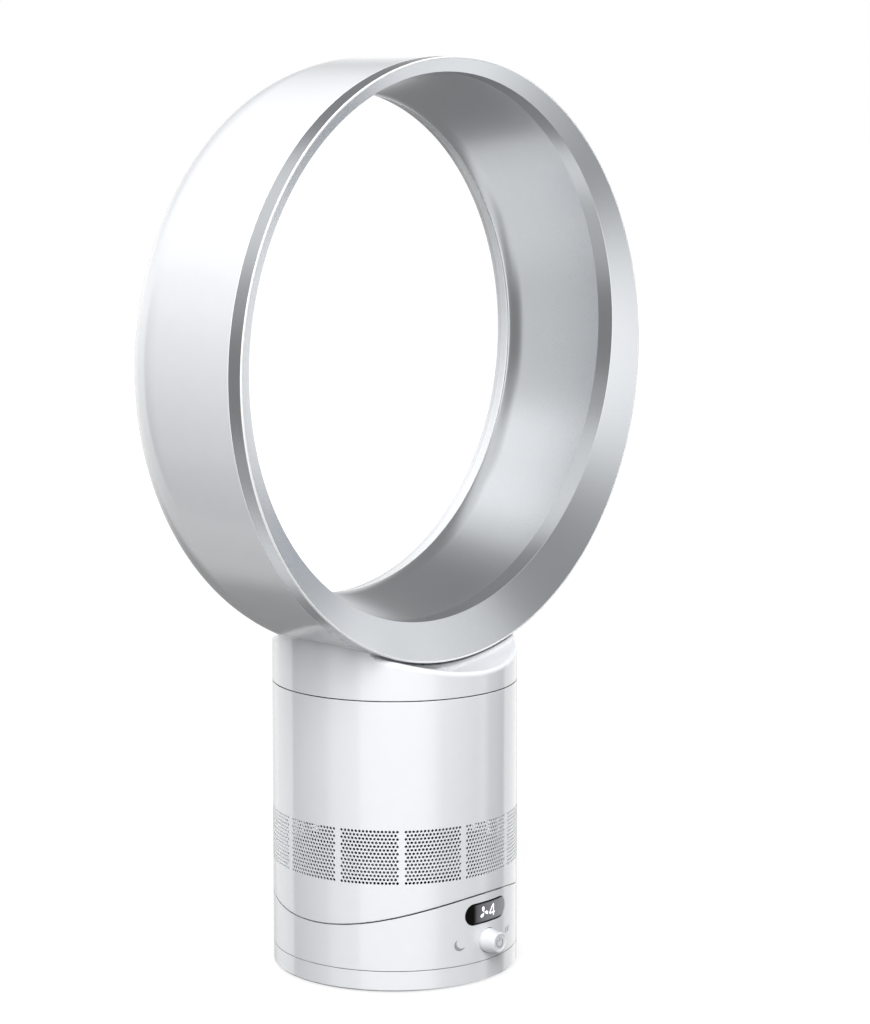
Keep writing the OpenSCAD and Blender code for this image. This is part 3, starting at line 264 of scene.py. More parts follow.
# Pressed and cured: black with a grey bloom
RUBBER = Finish("moulded_rubber", "#1B1B1D", "#2B2B2D", 0.8, size_mm=2.0, depth_mm=0.02)
# Blown and cut: open cells that swallow the light
FOAM = Finish(
    "open_cell_foam", "#1A1A1B", "#3A3A3C", 0.95, pattern=Pattern.CELLS, size_mm=1.1, depth_mm=0.4
)
# Green mask over etched copper, which shows as lighter tracks
BOARD = Finish("solder_masked_board", "#1A5230", "#2C7344", 0.35, size_mm=1.6, depth_mm=0.035)
# Stamped and plated: the zinc's crystals show as dull and bright patches
STEEL = Finish(
    "zinc_plated_steel", "#B8BABD", "#A6A9AE", 0.3, metallic=1.0, ior=None,
    pattern=Pattern.FLAKE, size_mm=1.4, depth_mm=0.002,
)
# Stamped sheets of 0.5 mm, stacked along the shaft: fine dark lines between them
IRON = Finish(
    "laminated_iron", "#6A6D72", "#4A4C50", 0.45, metallic=1.0, ior=None,
    pattern=Pattern.LAYERS, size_mm=0.5, depth_mm=0.03,
)
# Wound wire of 0.6 mm under a clear enamel: rows of bright round backs
COPPER = Finish(
    "enamelled_copper_wire", "#B5622F", "#6E3417", 0.3, metallic=1.0, ior=None,
    pattern=Pattern.LAYERS, size_mm=0.6, depth_mm=0.25,
)
# Turned on a lathe: rings 0.25 mm apart that draw out the highlights
BRASS = Finish(
    "turned_brass", "#C4A04E", "#B8923F", 0.28, metallic=1.0, ior=None,
    pattern=Pattern.TURNS, size_mm=0.25, depth_mm=0.006,
)

SLOT_FINISH = {
    "white_plastic": WHITE_ABS,
    "silver_trim": SILVER_LACQUER,
    "dark_window": SMOKED_ACRYLIC,
    "grey_plastic": GREY_PP,
    "nylon": NYLON,
    "impeller_plastic": GLASS_NYLON,
    "black_plastic": BLACK_PP,
    "rubber": RUBBER,
    "foam": FOAM,
    "circuit_board": BOARD,
    "steel": STEEL,
    "laminated_iron": IRON,
    "copper_wire": COPPER,
    "brass": BRASS,
}


def link(name: str, mesh: bpy.types.Mesh, body: str, slot: str, *nodes: str) -> bpy.types.Object:
    """Adds a piece to the scene and says where it belongs.

    Args:
        name: Name of the piece.
        mesh: Its mesh.
        body: The CAD body that it moves with.
        slot: The material slot that it takes its finish from.
        *nodes: The CAD nodes that it stands for.

    Returns:
        The new object.
    """
    piece = bpy.data.objects.new(name, mesh)
    bpy.context.scene.collection.objects.link(piece)
    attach(piece, body)
    if nodes:
        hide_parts(*nodes)
    if not mesh.materials:
        mesh.materials.append(SLOT_FINISH[slot].material())
    LOG.info("%s: %d faces, on %s, slot %s", name, len(mesh.polygons), body, slot)
    return piece


def new_mesh(name: str, points: Sequence[Point], faces: Sequence[Sequence[int]]) -> bpy.types.Mesh:
    """Makes a smooth mesh from points in millimetres, merging those that coincide.

    Args:
        name: Name of the mesh.
        points: Its points.
        faces: Its faces, as numbers of points.

    Returns:
        The mesh, in metres.
    """
    mesh = bpy.data.meshes.new(name)
    mesh.from_pydata([tuple(c * MM for c in p) for p in points], [], faces)
    clean = bmesh.new()
    clean.from_mesh(mesh)
    bmesh.ops.remove_doubles(clean, verts=clean.verts, dist=MERGE * MM)
    bmesh.ops.recalc_face_normals(clean, faces=clean.faces)
    clean.to_mesh(mesh)
    clean.free()
    mesh.shade_smooth()
    mesh.set_sharp_from_angle(angle=math.radians(SHARP))
    return mesh


def dress_faces(
    mesh: bpy.types.Mesh, most: Finish, some: Finish, chosen: Callable[[float, float, float], bool]
) -> None:
    """Gives a mesh its finish, and some of its faces another.

    Args:
        mesh: The mesh.
        most: Finish of most faces.
        some: Finish of the chosen faces.
        chosen: Tells from the middle of a face, in millimetres, if it is chosen.
    """
    mesh.materials.clear()
    mesh.materials.append(most.material())
    mesh.materials.append(some.material())
    for face in mesh.polygons:
        face.material_index = int(chosen(*(face.center / MM)))


def weigh_normals(piece: bpy.types.Object) -> None:
    """Shades a piece by its larger faces, so that its narrow edge rounds take the turn.

    Args:
        piece: The piece.
    """
    weighted = piece.modifiers.new("weighted_normals", "WEIGHTED_NORMAL")
    weighted.keep_sharp = True
    # At this weight only the largest faces count
    weighted.weight = 100


def lofted(rings: Sequence[Sequence[Point]], closed: bool) -> tuple[list[Point], list[list[int]]]:
    """Joins rings of equal length with quads.

    Args:
        rings: The rings, each a closed row of points.
        closed: Whether the last ring is joined to the first.

    Returns:
        The points and the faces.
    """
    count = len(rings[0])
    points = [p for ring in rings for p in ring]
    faces = []
    for i in range(len(rings) if closed else len(rings) - 1):
        a, b = i * count, (i + 1) % len(rings) * count
        for j in range(count):
            k = (j + 1) % count
            faces.append([a + j, a + k, b + k, b + j])
    return points, faces


def swept(name: str, sections: Sequence[Sequence[Point]]) -> bpy.types.Mesh:
    """Makes a closed mesh from the sections that stand round its axis."""
    return new_mesh(name, *lofted([list(ring) for ring in zip(*sections)], closed=True))


def arc(
    cx: float, cy: float, rx: float, ry: float, start: float, end: float, steps: int
) -> list[Place]:
    """Gives the points of an arc of an ellipse, with its angles in degrees."""
    turns = [math.radians(start + (end - start) * i / steps) for i in range(steps + 1)]
    return [(cx + rx * math.cos(t), cy + ry * math.sin(t)) for t in turns]


def rounded(corners: Sequence[tuple[float, float, float]], steps: int) -> list[Place]:
    """Rounds the corners of a closed outline.

    Args:
        corners: Two coordinates and the radius of each corner.
        steps: Steps of each rounding.

    Returns:
        The points of the rounded outline.
    """
    points = []
    for i, (x, y, radius) in enumerate(corners):
        here = Vector((x, y))
        if radius <= 0:
            points.append((x, y))
            continue
        before = Vector(corners[i - 1][:2]) - here
        after = Vector(corners[(i + 1) % len(corners)][:2]) - here
        half_turn = before.angle(after) / 2
        middle = (before.normalized() + after.normalized()).normalized()
        centre = here + middle * (radius / math.sin(half_turn))
        reach = radius / math.tan(half_turn)
        first = here + before.normalized() * reach - centre
        last = here + after.normalized() * reach - centre
        swing = first.angle_signed(last)
        for k in range(steps + 1):
            spoke = first.copy()
            spoke.rotate(Matrix.Rotation(-swing * k / steps, 2))
            points.append(tuple(centre + spoke))
    return points


def turned(profile: Sequence[tuple[float, float, float]], count: int) -> list[list[Point]]:
    """Turns a profile about axes that run from front to back.

    Args:
        profile: Radius, depth and height of the axis, for each point.
        count: Steps of the turn.

    Returns:
        One ring for each point.
    """
    turns = [2 * math.pi * i / count for i in range(count)]
    return [
        [(r * math.sin(t), y, axis + r * math.cos(t)) for t in turns] for r, y, axis in profile
    ]


def combine(base: bpy.types.Mesh, tool: bpy.types.Mesh, operation: str) -> bpy.types.Mesh:
    """Joins a solid to another or cuts it with another.

    Args:
        base: The solid that is kept.
        tool: The solid that is added or taken away.
        operation: UNION or DIFFERENCE.

    Returns:
        The new mesh.
    """
    holder = bpy.data.objects.new("base", base)
    cutter = bpy.data.objects.new("tool", tool)
    for one in (holder, cutter):
        bpy.context.scene.collection.objects.link(one)
    modifier = holder.modifiers.new("combine", "BOOLEAN")
    modifier.operation, modifier.solver, modifier.object = operation, "EXACT", cutter
    depsgraph = bpy.context.evaluated_depsgraph_get()
    mesh = bpy.data.meshes.new_from_object(holder.evaluated_get(depsgraph))
    for one in (holder, cutter):
        bpy.data.objects.remove(one)
    return mesh


def dress_nodes() -> None:
    """Gives each CAD node the finish of its slot."""
    for part in frame["record"]["subparts"]:
        finish = SLOT_FINISH[part["material_slot"]]
        node = frame["nodes"][part["node"]]
        node.data.materials.clear()
        node.data.materials.append(finish.material())
        LOG.info("%s: CAD node, %s", part["node"], finish.name)


@dataclass
class Loop:
    """The ring-shaped air amplifier with its neck.

    Attributes:
        outer_r: Outside radius.
        axis_z: Height of the axis of the outside.
        front: Depth of the front rim in front of the body's axis.
        back: Depth of the back behind the body's axis.
        band_w: Width of the silver band round the front rim.
        taper: Angle between the front taper and the axis, in degrees.
        guide_r: Radius of the guide band.
        guide_z: Height of the guide band's axis.
        throat_r: Radius of the throat.
        throat_y: Depth of the throat.
        diffuser_z: Height of the diffuser's axis.
        diffuser_a: Half angle of the diffuser's cone, in degrees.
        lip_step: Step from the throat out to the rear lip.
        lip_y: Depth of the tip of the rear lip.
        lip_tip_t: Thickness of the tip of the lip.
        lip_base_t: Thickness of the root of the lip.
        lip_lacquer: Width of the lip's lacquered inner face.
        slot_w: Width of the outlet slot.
        bend_run: How far in front of the throat the diffuser begins to bend.
        bend_r: Radius of that slow bend.
        bend_a: Angle at which it gives way to the quick turn into the slot, in degrees.
        bend_steps: Steps of the slow bend and of the quick turn.
        clear: Gap between the guide band and the edge of the diffuser that it hides.
        shoulder_r: Radial depth of the rear shoulder.
        shoulder_l: Length of the rear shoulder.
        nose_r: Rounding between the back and the lip.
        wall: Wall of the white casing.
        ring_t: Wall of the silver pieces.
        rim_round: Rounding of the front rim.
        rim_line: Width of the painted highlight on the rim, a pale line, in roundings.
        front_edge: Bevel of the casing's front edge.
        band_round: Rounding of the rear edge of the silver band.
        lap: How far the guide band laps over the diffuser.
        lap_round: Rounding of its lapping edge.
        crease: Turn from which an edge of the joined casing shows, in degrees.
        neck_r: Radius of the neck.
        neck_low: Height of the foot of the neck.
        neck_round: Rounding between the wall of the neck and its ledges.
        neck_edge: Insets and rises of the points of the neck's lower edge.
        neck_fit: How far behind the casing's front edge the front ledge meets it.
        root: How deep the neck runs into the casing's wall.
        passage_in: How far inside the neck's wall the passage to the loop lies.
        passage_z: Where the passage begins and ends above the foot of the neck.
        rim_gap: Gap between the silver band and the front ledge.
        ledge_fall: Fall of the front ledge to the front of the neck.
        ledge_rise: Rise of the rear ledge above the outside of the loop.
        count: Steps of the turn.
    """

    outer_r: float = 179.0
    axis_z: float = 372.5
    front: float = 49.4
    back: float = 49.0
    band_w: float = 10.8
    taper: float = 57.0
    guide_r: float = 163.0
    guide_z: float = 379.5
    throat_r: float = 150.9
    throat_y: float = 27.5
    diffuser_z: float = 378.4
    diffuser_a: float = 12.3
    lip_step: float = 2.8
    lip_y: float = 39.5
    lip_tip_t: float = 1.2
    lip_base_t: float = 3.5
    lip_lacquer: float = 5.0
    slot_w: float = 1.3
    bend_run: float = 4.0
    bend_r: float = 30.0
    bend_a: float = 11.0
    bend_steps: tuple[int, int] = (16, 10)
    clear: float = 0.2
    shoulder_r: float = 16.5
    shoulder_l: float = 30.0
    nose_r: float = 2.6
    wall: float = 2.5
    ring_t: float = 2.0
    rim_round: float = 0.85
    rim_line: float = 1.7
    front_edge: float = 0.3
    band_round: float = 0.25
    lap: float = 2.0
    lap_round: float = 0.3
    crease: float = 25.0
    neck_r: float = 75.0
    neck_low: float = 177.35
    neck_round: float = 3.0
    neck_edge: tuple[Place, ...] = ((0.4, 0.0), (0.12, 0.12), (0.0, 0.4))
    neck_fit: float = 0.15
    root: float = 1.0
    passage_in: float = 0.5
    passage_z: Span = (8.0, 35.0)
    rim_gap: float = 1.0
    ledge_fall: float = 1.5
    ledge_rise: float = 3.0
    count: int = 480

    @property
    def casing_front(self) -> float:
        """Depth of the front edge of the white casing."""
        return self.band_w - self.front

    @property
    def neck_rear(self) -> float:
        """Depth at which the rear ledge of the neck meets the casing."""
        return self.back - self.shoulder_l / 2 - self.root

    @property
    def lip_r(self) -> float:
        """Radius of the inner face of the rear lip."""
        return self.throat_r + self.lip_step

    def shoulder(self, inset: float, steps: int) -> list[Place]:
        """Gives the rear shoulder as radii and depths, drawn in by an inset."""
        return arc(
            self.outer_r - self.shoulder_r, self.back - self.shoulder_l,
            self.shoulder_r - inset, self.shoulder_l - inset, 0, 90, steps,
        )

    def casing_shell(self) -> bpy.types.Mesh:
        """Builds the hollow ring of the white casing, with the lip over the slot.

        Returns:
            The mesh of the ring.
        """
        lip_r, half_tip = self.lip_r, self.lip_tip_t / 2
        outside = [
            (self.outer_r - self.front_edge, self.casing_front),
            (self.outer_r, self.casing_front + self.front_edge),
        ]
        outside += self.shoulder(0, 20)
        inside = self.shoulder(self.wall, 12)[::-1]
        inside += [(self.outer_r - self.wall, self.casing_front)]
        lip = arc(lip_r + self.nose_r, self.back - self.nose_r, self.nose_r, self.nose_r, 90, 180, 8)
        tip = arc(lip_r + half_tip, self.lip_y + half_tip, half_tip, half_tip, 180, 360, 6)
        lip += [(lip_r, self.lip_y + self.lip_lacquer)] + tip + [
            (lip_r + self.lip_base_t, self.back - self.nose_r),
            (lip_r + self.lip_base_t, self.back - self.wall),
        ]
        profile = [(r, y, self.axis_z) for r, y in outside]
        profile += [(r, y, self.diffuser_z) for r, y in lip]
        profile += [(r, y, self.axis_z) for r, y in inside]
        return new_mesh("casing_shell", *lofted(turned(profile, self.count), closed=True))

    def height_at(self, across: float, reach: float) -> float:
        """Gives the height under the loop's axis of a surface turned about it.

        Args:
            across: Place along X.
            reach: Radius of the surface.

        Returns:
            Its height below the axis at that place.
        """
        return self.axis_z - math.sqrt(reach ** 2 - across ** 2)

    def neck_column(self, turn: float) -> list[Place]:
        """Gives the section of the neck's wall in a direction.

        The wall rises to its ledge in front of the loop or behind it, and runs in under
        the loop there. At the sides it rises straight into the casing.

        Args:
            turn: The direction from the front, in radians.

        Returns:
            Radii from the body's axis, with heights.
        """
        depth = -math.cos(turn)
        front, rear = self.casing_front + self.neck_fit, self.neck_rear
        ledge = self.outer_r + self.rim_gap
        slope = self.ledge_fall / (self.neck_r + self.casing_front)
        end = self.neck_r
        sunk = self.outer_r - self.root
        wall_y = self.neck_r * depth
        if wall_y < front:
            end = front / depth
        elif wall_y > rear:
            end = rear / depth
        if wall_y > 0:
            back_share = min(1.0, max(0.0, (wall_y - rear / 3) / (rear * 2 / 3)))
            ledge -= back_share * (self.rim_gap + self.ledge_rise)
            sunk -= back_share * (self.ledge_rise - self.root / 2)

        def ledge_point(radius: float, drop: float = 0.0) -> Place:
            """Gives the point of the ledge, or of a surface under it, at a radius."""
            reach = ledge + drop
            if wall_y < front:
                reach += slope * max(0.0, front - radius * depth)
            return (radius, self.height_at(radius * math.sin(turn), reach))

        def sunk_point(radius: float) -> Place:
            """Gives the point inside the casing's wall at a radius."""
            return (radius, self.height_at(radius * math.sin(turn), sunk))

        # The corner is rounded between long lines down the wall and in along the ledge, and
        # its rounding fades out where the ledge narrows to nothing
        line, near, steps, room = 20, 2, 8, 0.6
        corner = ledge_point(self.neck_r)
        inward = ledge_point(self.neck_r - near)
        edge = min(self.neck_round, room * (self.neck_r - end))
        down = (self.neck_r, corner[1] - line, 0)
        far = (self.neck_r - line, corner[1] + line // near * (inward[1] - corner[1]), 0)
        bend = rounded([down, (*corner, edge), far], steps)[1:-1]
        if edge <= 0:
            bend = [corner] * (steps + 1)
        start = bend[-1][0]
        top = [ledge_point(start + (end - start) * share) for share in (0.25, 0.5, 0.75, 1.0)]
        within = self.neck_r - self.wall
        tuck = min(within, max(0.0, end - self.wall))
        foot = [(self.neck_r - inset, self.neck_low + rise) for inset, rise in self.neck_edge]
        return [
            (within, self.neck_low), *foot, *bend, *top, sunk_point(end), sunk_point(tuck),
            ledge_point(tuck, self.wall), ledge_point(within, self.wall),
        ]

    def neck_wall(self) -> bpy.types.Mesh:
        """Builds the hollow neck, with its ledges in front of and behind the loop.

        Returns:
            The mesh of the neck.
        """
        columns = []
        for i in range(self.count):
            turn = 2 * math.pi * i / self.count
            columns.append([
                (-r * math.sin(turn), -r * math.cos(turn), z) for r, z in self.neck_column(turn)
            ])
        return swept("neck_wall", columns)

    def passage(self) -> bpy.types.Mesh:
        """Builds the opening from the neck into the loop.

        Returns:
            The mesh of what is cut away.
        """
        radius = self.neck_r - self.wall - self.passage_in
        front, rear = self.casing_front + 2 * self.wall, self.neck_rear
        steps = 12
        outline = []
        for i in range(steps + 1):
            y = front + (rear - front) * i / steps
            outline.append((math.sqrt(radius ** 2 - y ** 2), y))
        outline += [(-x, y) for x, y in outline[::-1]]
        rings = [[(x, y, self.neck_low + z) for x, y in outline] for z in self.passage_z]
        points, faces = lofted(rings, closed=False)
        size = len(outline)
        faces.append(list(range(size))[::-1])
        faces.append([size + i for i in range(size)])
        return new_mesh("neck_passage", points, faces)

    def casing(self) -> None:
        """Makes the white casing of the loop with the neck."""
        mesh = combine(self.casing_shell(), self.neck_wall(), "UNION")
        mesh = combine(mesh, self.passage(), "DIFFERENCE")
        mesh.shade_smooth()
        mesh.set_sharp_from_angle(angle=math.radians(self.crease))
        lip_r, lip_y = self.lip_r + self.lip_tip_t / 2, self.lip_y + self.lip_lacquer
        dress_faces(
            mesh, WHITE_ABS, PALE_LIP_AND_RIM_HIGHLIGHT,
            lambda x, y, z: math.hypot(x, z - self.diffuser_z) < lip_r and y < lip_y,
        )
        weigh_normals(link("loop_casing", mesh, "loop", "white_plastic", "outer_casing"))

    def guide_reach(self, turn: float, axis: float) -> float:
        """Gives the distance from an axis at a height to the guide band, in a direction."""
        rise = self.guide_z - axis
        return rise * math.cos(turn) + math.sqrt(self.guide_r ** 2 - (rise * math.sin(turn)) ** 2)

    def front_band(self) -> None:
        """Makes the silver front: the outside band, the front taper and the guide band, with a
        painted highlight on the rim.
        """
        slope = 1 / math.tan(math.radians(self.taper))
        lean = math.tan(math.radians(self.diffuser_a))
        drop = self.guide_z - self.diffuser_z
        lap_y = self.throat_y - (self.guide_r - drop - self.throat_r) / lean + self.lap
        skin = self.ring_t / math.sin(math.radians(self.taper))
        columns = []
        for i in range(self.count):
            turn = 2 * math.pi * i / self.count
            guide = self.guide_reach(turn, self.axis_z)
            edge_y = -self.front + (self.outer_r - guide) * slope
            inner = self.outer_r - self.wall
            outline = rounded([
                (self.outer_r, self.casing_front, self.band_round),
                (self.outer_r, -self.front, self.rim_round),
                (guide, edge_y, self.rim_round / 2),
                (guide, lap_y, self.lap_round),
                (guide + self.ring_t, lap_y, self.lap_round),
                (guide + self.ring_t, edge_y + skin - self.ring_t * slope, 0),
                (inner, -self.front + self.wall * slope + skin, 0),
                (inner, self.casing_front, 0),
            ], 8)
            columns.append([
                (r * math.sin(turn), y, self.axis_z + r * math.cos(turn)) for r, y in outline
            ])
        mesh = swept("front_band", columns)
        # The faces of the rim's rounding take the pale finish: a painted highlight along the edge
        rim_r = self.outer_r - self.rim_line * self.rim_round
        rim_y = 2 * self.rim_round - self.front
        dress_faces(
            mesh, SILVER_LACQUER, PALE_LIP_AND_RIM_HIGHLIGHT,
            lambda x, y, z: math.hypot(x, z - self.axis_z) > rim_r and y < rim_y,
        )
        weigh_normals(link("front_band", mesh, "loop", "silver_trim", "front_ring"))

    def bend(
        self, r: float, y: float, radius: float, first: float, last: float, steps: int
    ) -> list[tuple[float, float, float]]:
        """Gives a bend of the diffuser that turns away from the axis.

        Args:
            r: Distance of its start from the axis.
            y: Depth of its start.
            radius: Its radius.
            first: Slope at its start, in radians.
            last: Slope at its end, in radians.
            steps: Steps of the bend.

        Returns:
            Distance, depth and slope of each point.
        """
        slopes = [first + (last - first) * i / steps for i in range(steps + 1)]
        return [
            (r + radius * (math.cos(first) - math.cos(a)),
             y + radius * (math.sin(a) - math.sin(first)), a) for a in slopes
        ]

    def diffuser(self) -> None:
        """Makes the diffuser and the curved surface that the air follows out of the slot."""
        lean = math.radians(self.diffuser_a)
        lip_r = self.lip_r + self.lip_tip_t + self.slot_w
        start = (self.throat_r + self.bend_run * math.tan(lean), self.throat_y - self.bend_run)
        slow_steps, quick_steps = self.bend_steps
        slow = self.bend(*start, self.bend_r, -lean, math.radians(self.bend_a), slow_steps)
        r, y, slope = slow[-1]
        chord = math.atan2(lip_r - r, self.lip_y - y)
        quick_r = math.hypot(lip_r - r, self.lip_y - y) / (2 * math.sin(chord - slope))
        quick = self.bend(r, y, quick_r, slope, 2 * chord - slope, quick_steps)
        surface = slow + quick[1:]
        curve = [(r, y) for r, y, _ in surface]
        hidden = [
            (r + self.ring_t * math.cos(turn), y - self.ring_t * math.sin(turn))
            for r, y, turn in surface[::-1]
        ]
        thick = self.ring_t / math.cos(lean)
        columns = []
        for i in range(self.count):
            turn = 2 * math.pi * i / self.count
            guide = self.guide_reach(turn, self.diffuser_z)
            front_y = self.throat_y - (guide - self.throat_r) / math.tan(lean)
            outline = [(guide, front_y)] + curve + hidden + [
                (guide - self.clear, front_y + (thick + self.clear) / math.tan(lean)),
            ]
            columns.append([
                (r * math.sin(turn), y, self.diffuser_z + r * math.cos(turn)) for r, y in outline
            ])
        mesh = swept("diffuser", columns)
        weigh_normals(link("diffuser", mesh, "loop", "silver_trim", "inner_casing"))

    def build(self) -> None:
        """Builds the loop's visible pieces."""
        self.casing()
        self.front_band()
        self.diffuser()


def radial(turn: float, radius: float, height: float) -> Point:
    """Gives a point on the body from its turn in degrees, + towards -X from the front."""
    a = math.radians(turn)
    return (-radius * math.sin(a), -radius * math.cos(a), height)


@dataclass
class AirBody:
    """The perforated shell of the body, which tilts on the cradle.

    Attributes:
        radius: Outside radius.
        wall: Wall of the shell.
        grille_wall: Thinner wall of the perforated band.
        grille_step: Height over which the wall thins into that band.
        low_round: Rounding of the lower edge.
        low_turns: Turns of the points of that rounding, in degrees.
        top: Height of the top edge.
        top_round: Rounding of the top edge.
        top_inset: Inset of the middle of that rounding.
        low_shares: Where the plain wall under the holes has rows, in shares of its height.
        top_shares: Where the plain wall over them has rows.
        tilt_z: Height of the tilt axis.
        tilt_r: Radius of the underside about the tilt axis.
        panels: Perforated panels round the body.
        rows: Rows of holes.
        row_low: Height of the lowest row.
        row_pitch: Height between rows.
        longest: Holes in the longer rows.
        pitch: Turn between holes, in degrees.
        hole_r: Radius of a hole.
        sides: Sides of a hole.
        ties: Where a hole's rim is tied to the points that border its cell, in shares of a turn.
    """

    radius: float = 75.0
    wall: float = 2.5
    grille_wall: float = 0.6
    grille_step: float = 0.4
    low_round: float = 0.7
    low_turns: tuple[int, ...] = (0, 30, 60, 90)
    top: float = 176.85
    top_round: float = 0.3
    top_inset: float = 0.09
    low_shares: tuple[float, ...] = (0.3, 0.7)
    top_shares: tuple[float, ...] = (0.3, 0.6, 0.9)
    tilt_z: float = 224.1
    tilt_r: float = 184.55
    panels: int = 12
    rows: int = 15
    row_low: float = 67.5
    row_pitch: float = 2.23
    longest: int = 16
    pitch: float = 1.74
    hole_r: float = 0.86
    sides: int = 10
    ties: tuple[float, ...] = (0.62, 0.75, 0.88, 0.12, 0.25, 0.38)

    @property
    def first_row(self) -> int:
        """Number of the row of the shell where the holes begin, after the step of the wall."""
        return len(self.low_turns) + len(self.low_shares) + 1

    def turns(self) -> list[float]:
        """Gives the turns of the shell's columns, which meet the sides of every cell.

        Returns:
            The turns, in degrees.
        """
        half_panel = 180 / self.panels
        reach = self.longest * self.pitch / 2
        columns = []
        for panel in range(self.panels):
            middle = panel * 2 * half_panel
            columns += [middle - reach + self.pitch / 2 * i for i in range(2 * self.longest + 1)]
            columns.append(middle + half_panel)
        return columns

    def underside(self, turn: float) -> float:
        """Gives the height of the curved lower edge at a turn."""
        depth = self.radius * math.cos(math.radians(turn))
        return self.tilt_z - math.sqrt(self.tilt_r ** 2 - depth ** 2)

    def heights(self, turn: float) -> list[float]:
        """Gives the heights of the shell's rows, from the curved lower edge to the top.

        Args:
            turn: Turn of the column.

        Returns:
            The heights.
        """
        low = self.underside(turn)
        first = self.row_low - self.row_pitch / 2
        plain = [low + self.low_round * (1 - math.cos(math.radians(a))) for a in self.low_turns]
        plain += [low + (first - low) * share for share in self.low_shares]
        lines = [first + self.row_pitch * i for i in range(self.rows + 1)]
        last = lines[-1]
        upper = [last + self.grille_step]
        upper += [last + (self.top - last) * share for share in self.top_shares]
        upper += [self.top - self.top_round, self.top - self.top_inset, self.top]
        return plain + [first - self.grille_step] + lines + upper

    def radii(self, tall: int) -> list[Span]:
        """Gives the radii of the shell at each of its rows.

        Args:
            tall: Number of rows.

        Returns:
            The radii of its outside and its inside.
        """
        inside = self.radius - self.wall
        rows = [(self.radius, inside)] * tall
        for i, a in enumerate(self.low_turns[:-1]):
            inset = self.low_round * (1 - math.sin(math.radians(a)))
            rows[i] = (self.radius - inset, inside)
        rows[-2:] = [(self.radius - inset, inside) for inset in (self.top_inset, self.top_round)]
        for i in range(self.rows + 1):
            rows[self.first_row + i] = (self.radius, self.radius - self.grille_wall)
        return rows

    def cell(
        self, points: list[Point], faces: list[list[int]], border: Sequence[int],
        border_in: Sequence[int], turn: float, height: float,
    ) -> None:
        """Builds one hole with its wall in the cell that six points border.

        Args:
            points: The points of the shell, which grow.
            faces: The faces of the shell, which grow.
            border: The border on the outside, from the lower left round the cell.
            border_in: The same border on the inside.
            turn: Turn of the hole's middle.
            height: Height of the hole's middle.
        """
        start = len(points)
        for radius in (self.radius, self.radius - self.grille_wall):
            for i in range(self.sides):
                a = 2 * math.pi * (i + 0.5) / self.sides
                swing = math.degrees(self.hole_r * math.cos(a) / self.radius)
                points.append(radial(turn + swing, radius, height + self.hole_r * math.sin(a)))
        rim = [start + i for i in range(self.sides)]
        back = [i + self.sides for i in rim]
        for i in range(self.sides):
            k = (i + 1) % self.sides
            faces.append([rim[i], rim[k], back[k], back[i]])
        marks = [round(self.sides * share) % self.sides for share in self.ties]
        for ring, edge in ((rim, border), (back, border_in)):
            for i, a in enumerate(marks):
                k = (i + 1) % len(marks)
                span = (marks[k] - a) % self.sides
                hole = [ring[(a + step) % self.sides] for step in range(span + 1)]
                faces.append([edge[i], edge[k]] + hole[::-1])

    def shell(self) -> bpy.types.Mesh:
        """Builds the perforated shell, as a grid whose cells in the panels each hold a hole.

        Returns:
            The mesh of the shell.
        """
        turns = self.turns()
        columns = [self.heights(turn) for turn in turns]
        tall = len(columns[0])
        radii = self.radii(tall)
        points: list[Point] = []
        for side in (0, 1):
            for turn, heights in zip(turns, columns):
                points += [radial(turn, radii[i][side], z) for i, z in enumerate(heights)]
        inner = len(points) // 2
        wide = len(turns)
        per_panel = 2 * self.longest + 2
        faces: list[list[int]] = []
        used = set()
        for panel in range(self.panels):
            for row in range(self.rows):
                short = row % 2
                for hole in range(self.longest - short):
                    left = panel * per_panel + 2 * hole + short
                    low = self.first_row + row
                    ids = [(left + c) * tall + low + r
                           for c, r in ((0, 0), (1, 0), (2, 0), (2, 1), (1, 1), (0, 1))]
                    used |= {(left, low), (left + 1, low)}
                    self.cell(
                        points, faces, ids, [i + inner for i in ids],
                        turns[left + 1], self.row_low + row * self.row_pitch,
                    )
        for column in range(wide):
            after = (column + 1) % wide
            for row in range(tall - 1):
                if (column, row) in used:
                    continue
                a, b = column * tall + row, after * tall + row
                faces.append([a, b, b + 1, a + 1])
                faces.append([a + inner, b + inner, b + inner + 1, a + inner + 1])
            for row in (0, tall - 1):
                a, b = column * tall + row, after * tall + row
                faces.append([a, b, b + inner, a + inner])
        return new_mesh("body_shell", points, faces)

    def build(self) -> None:
        """Makes the body's shell, with painted shade: black from the inner part of the holes
        inwards.
        """
        mesh = self.shell()
        shade_r = self.radius - self.grille_wall * 0.7
        # Faces inside this radius are black: painted shade behind the holes
        dress_faces(mesh, WHITE_ABS, PAINTED_INLET_SHADE, lambda x, y, z: math.hypot(x, y) < shade_r)
        weigh_normals(link("perforated_body", mesh, "body", "white_plastic", "body_shell"))


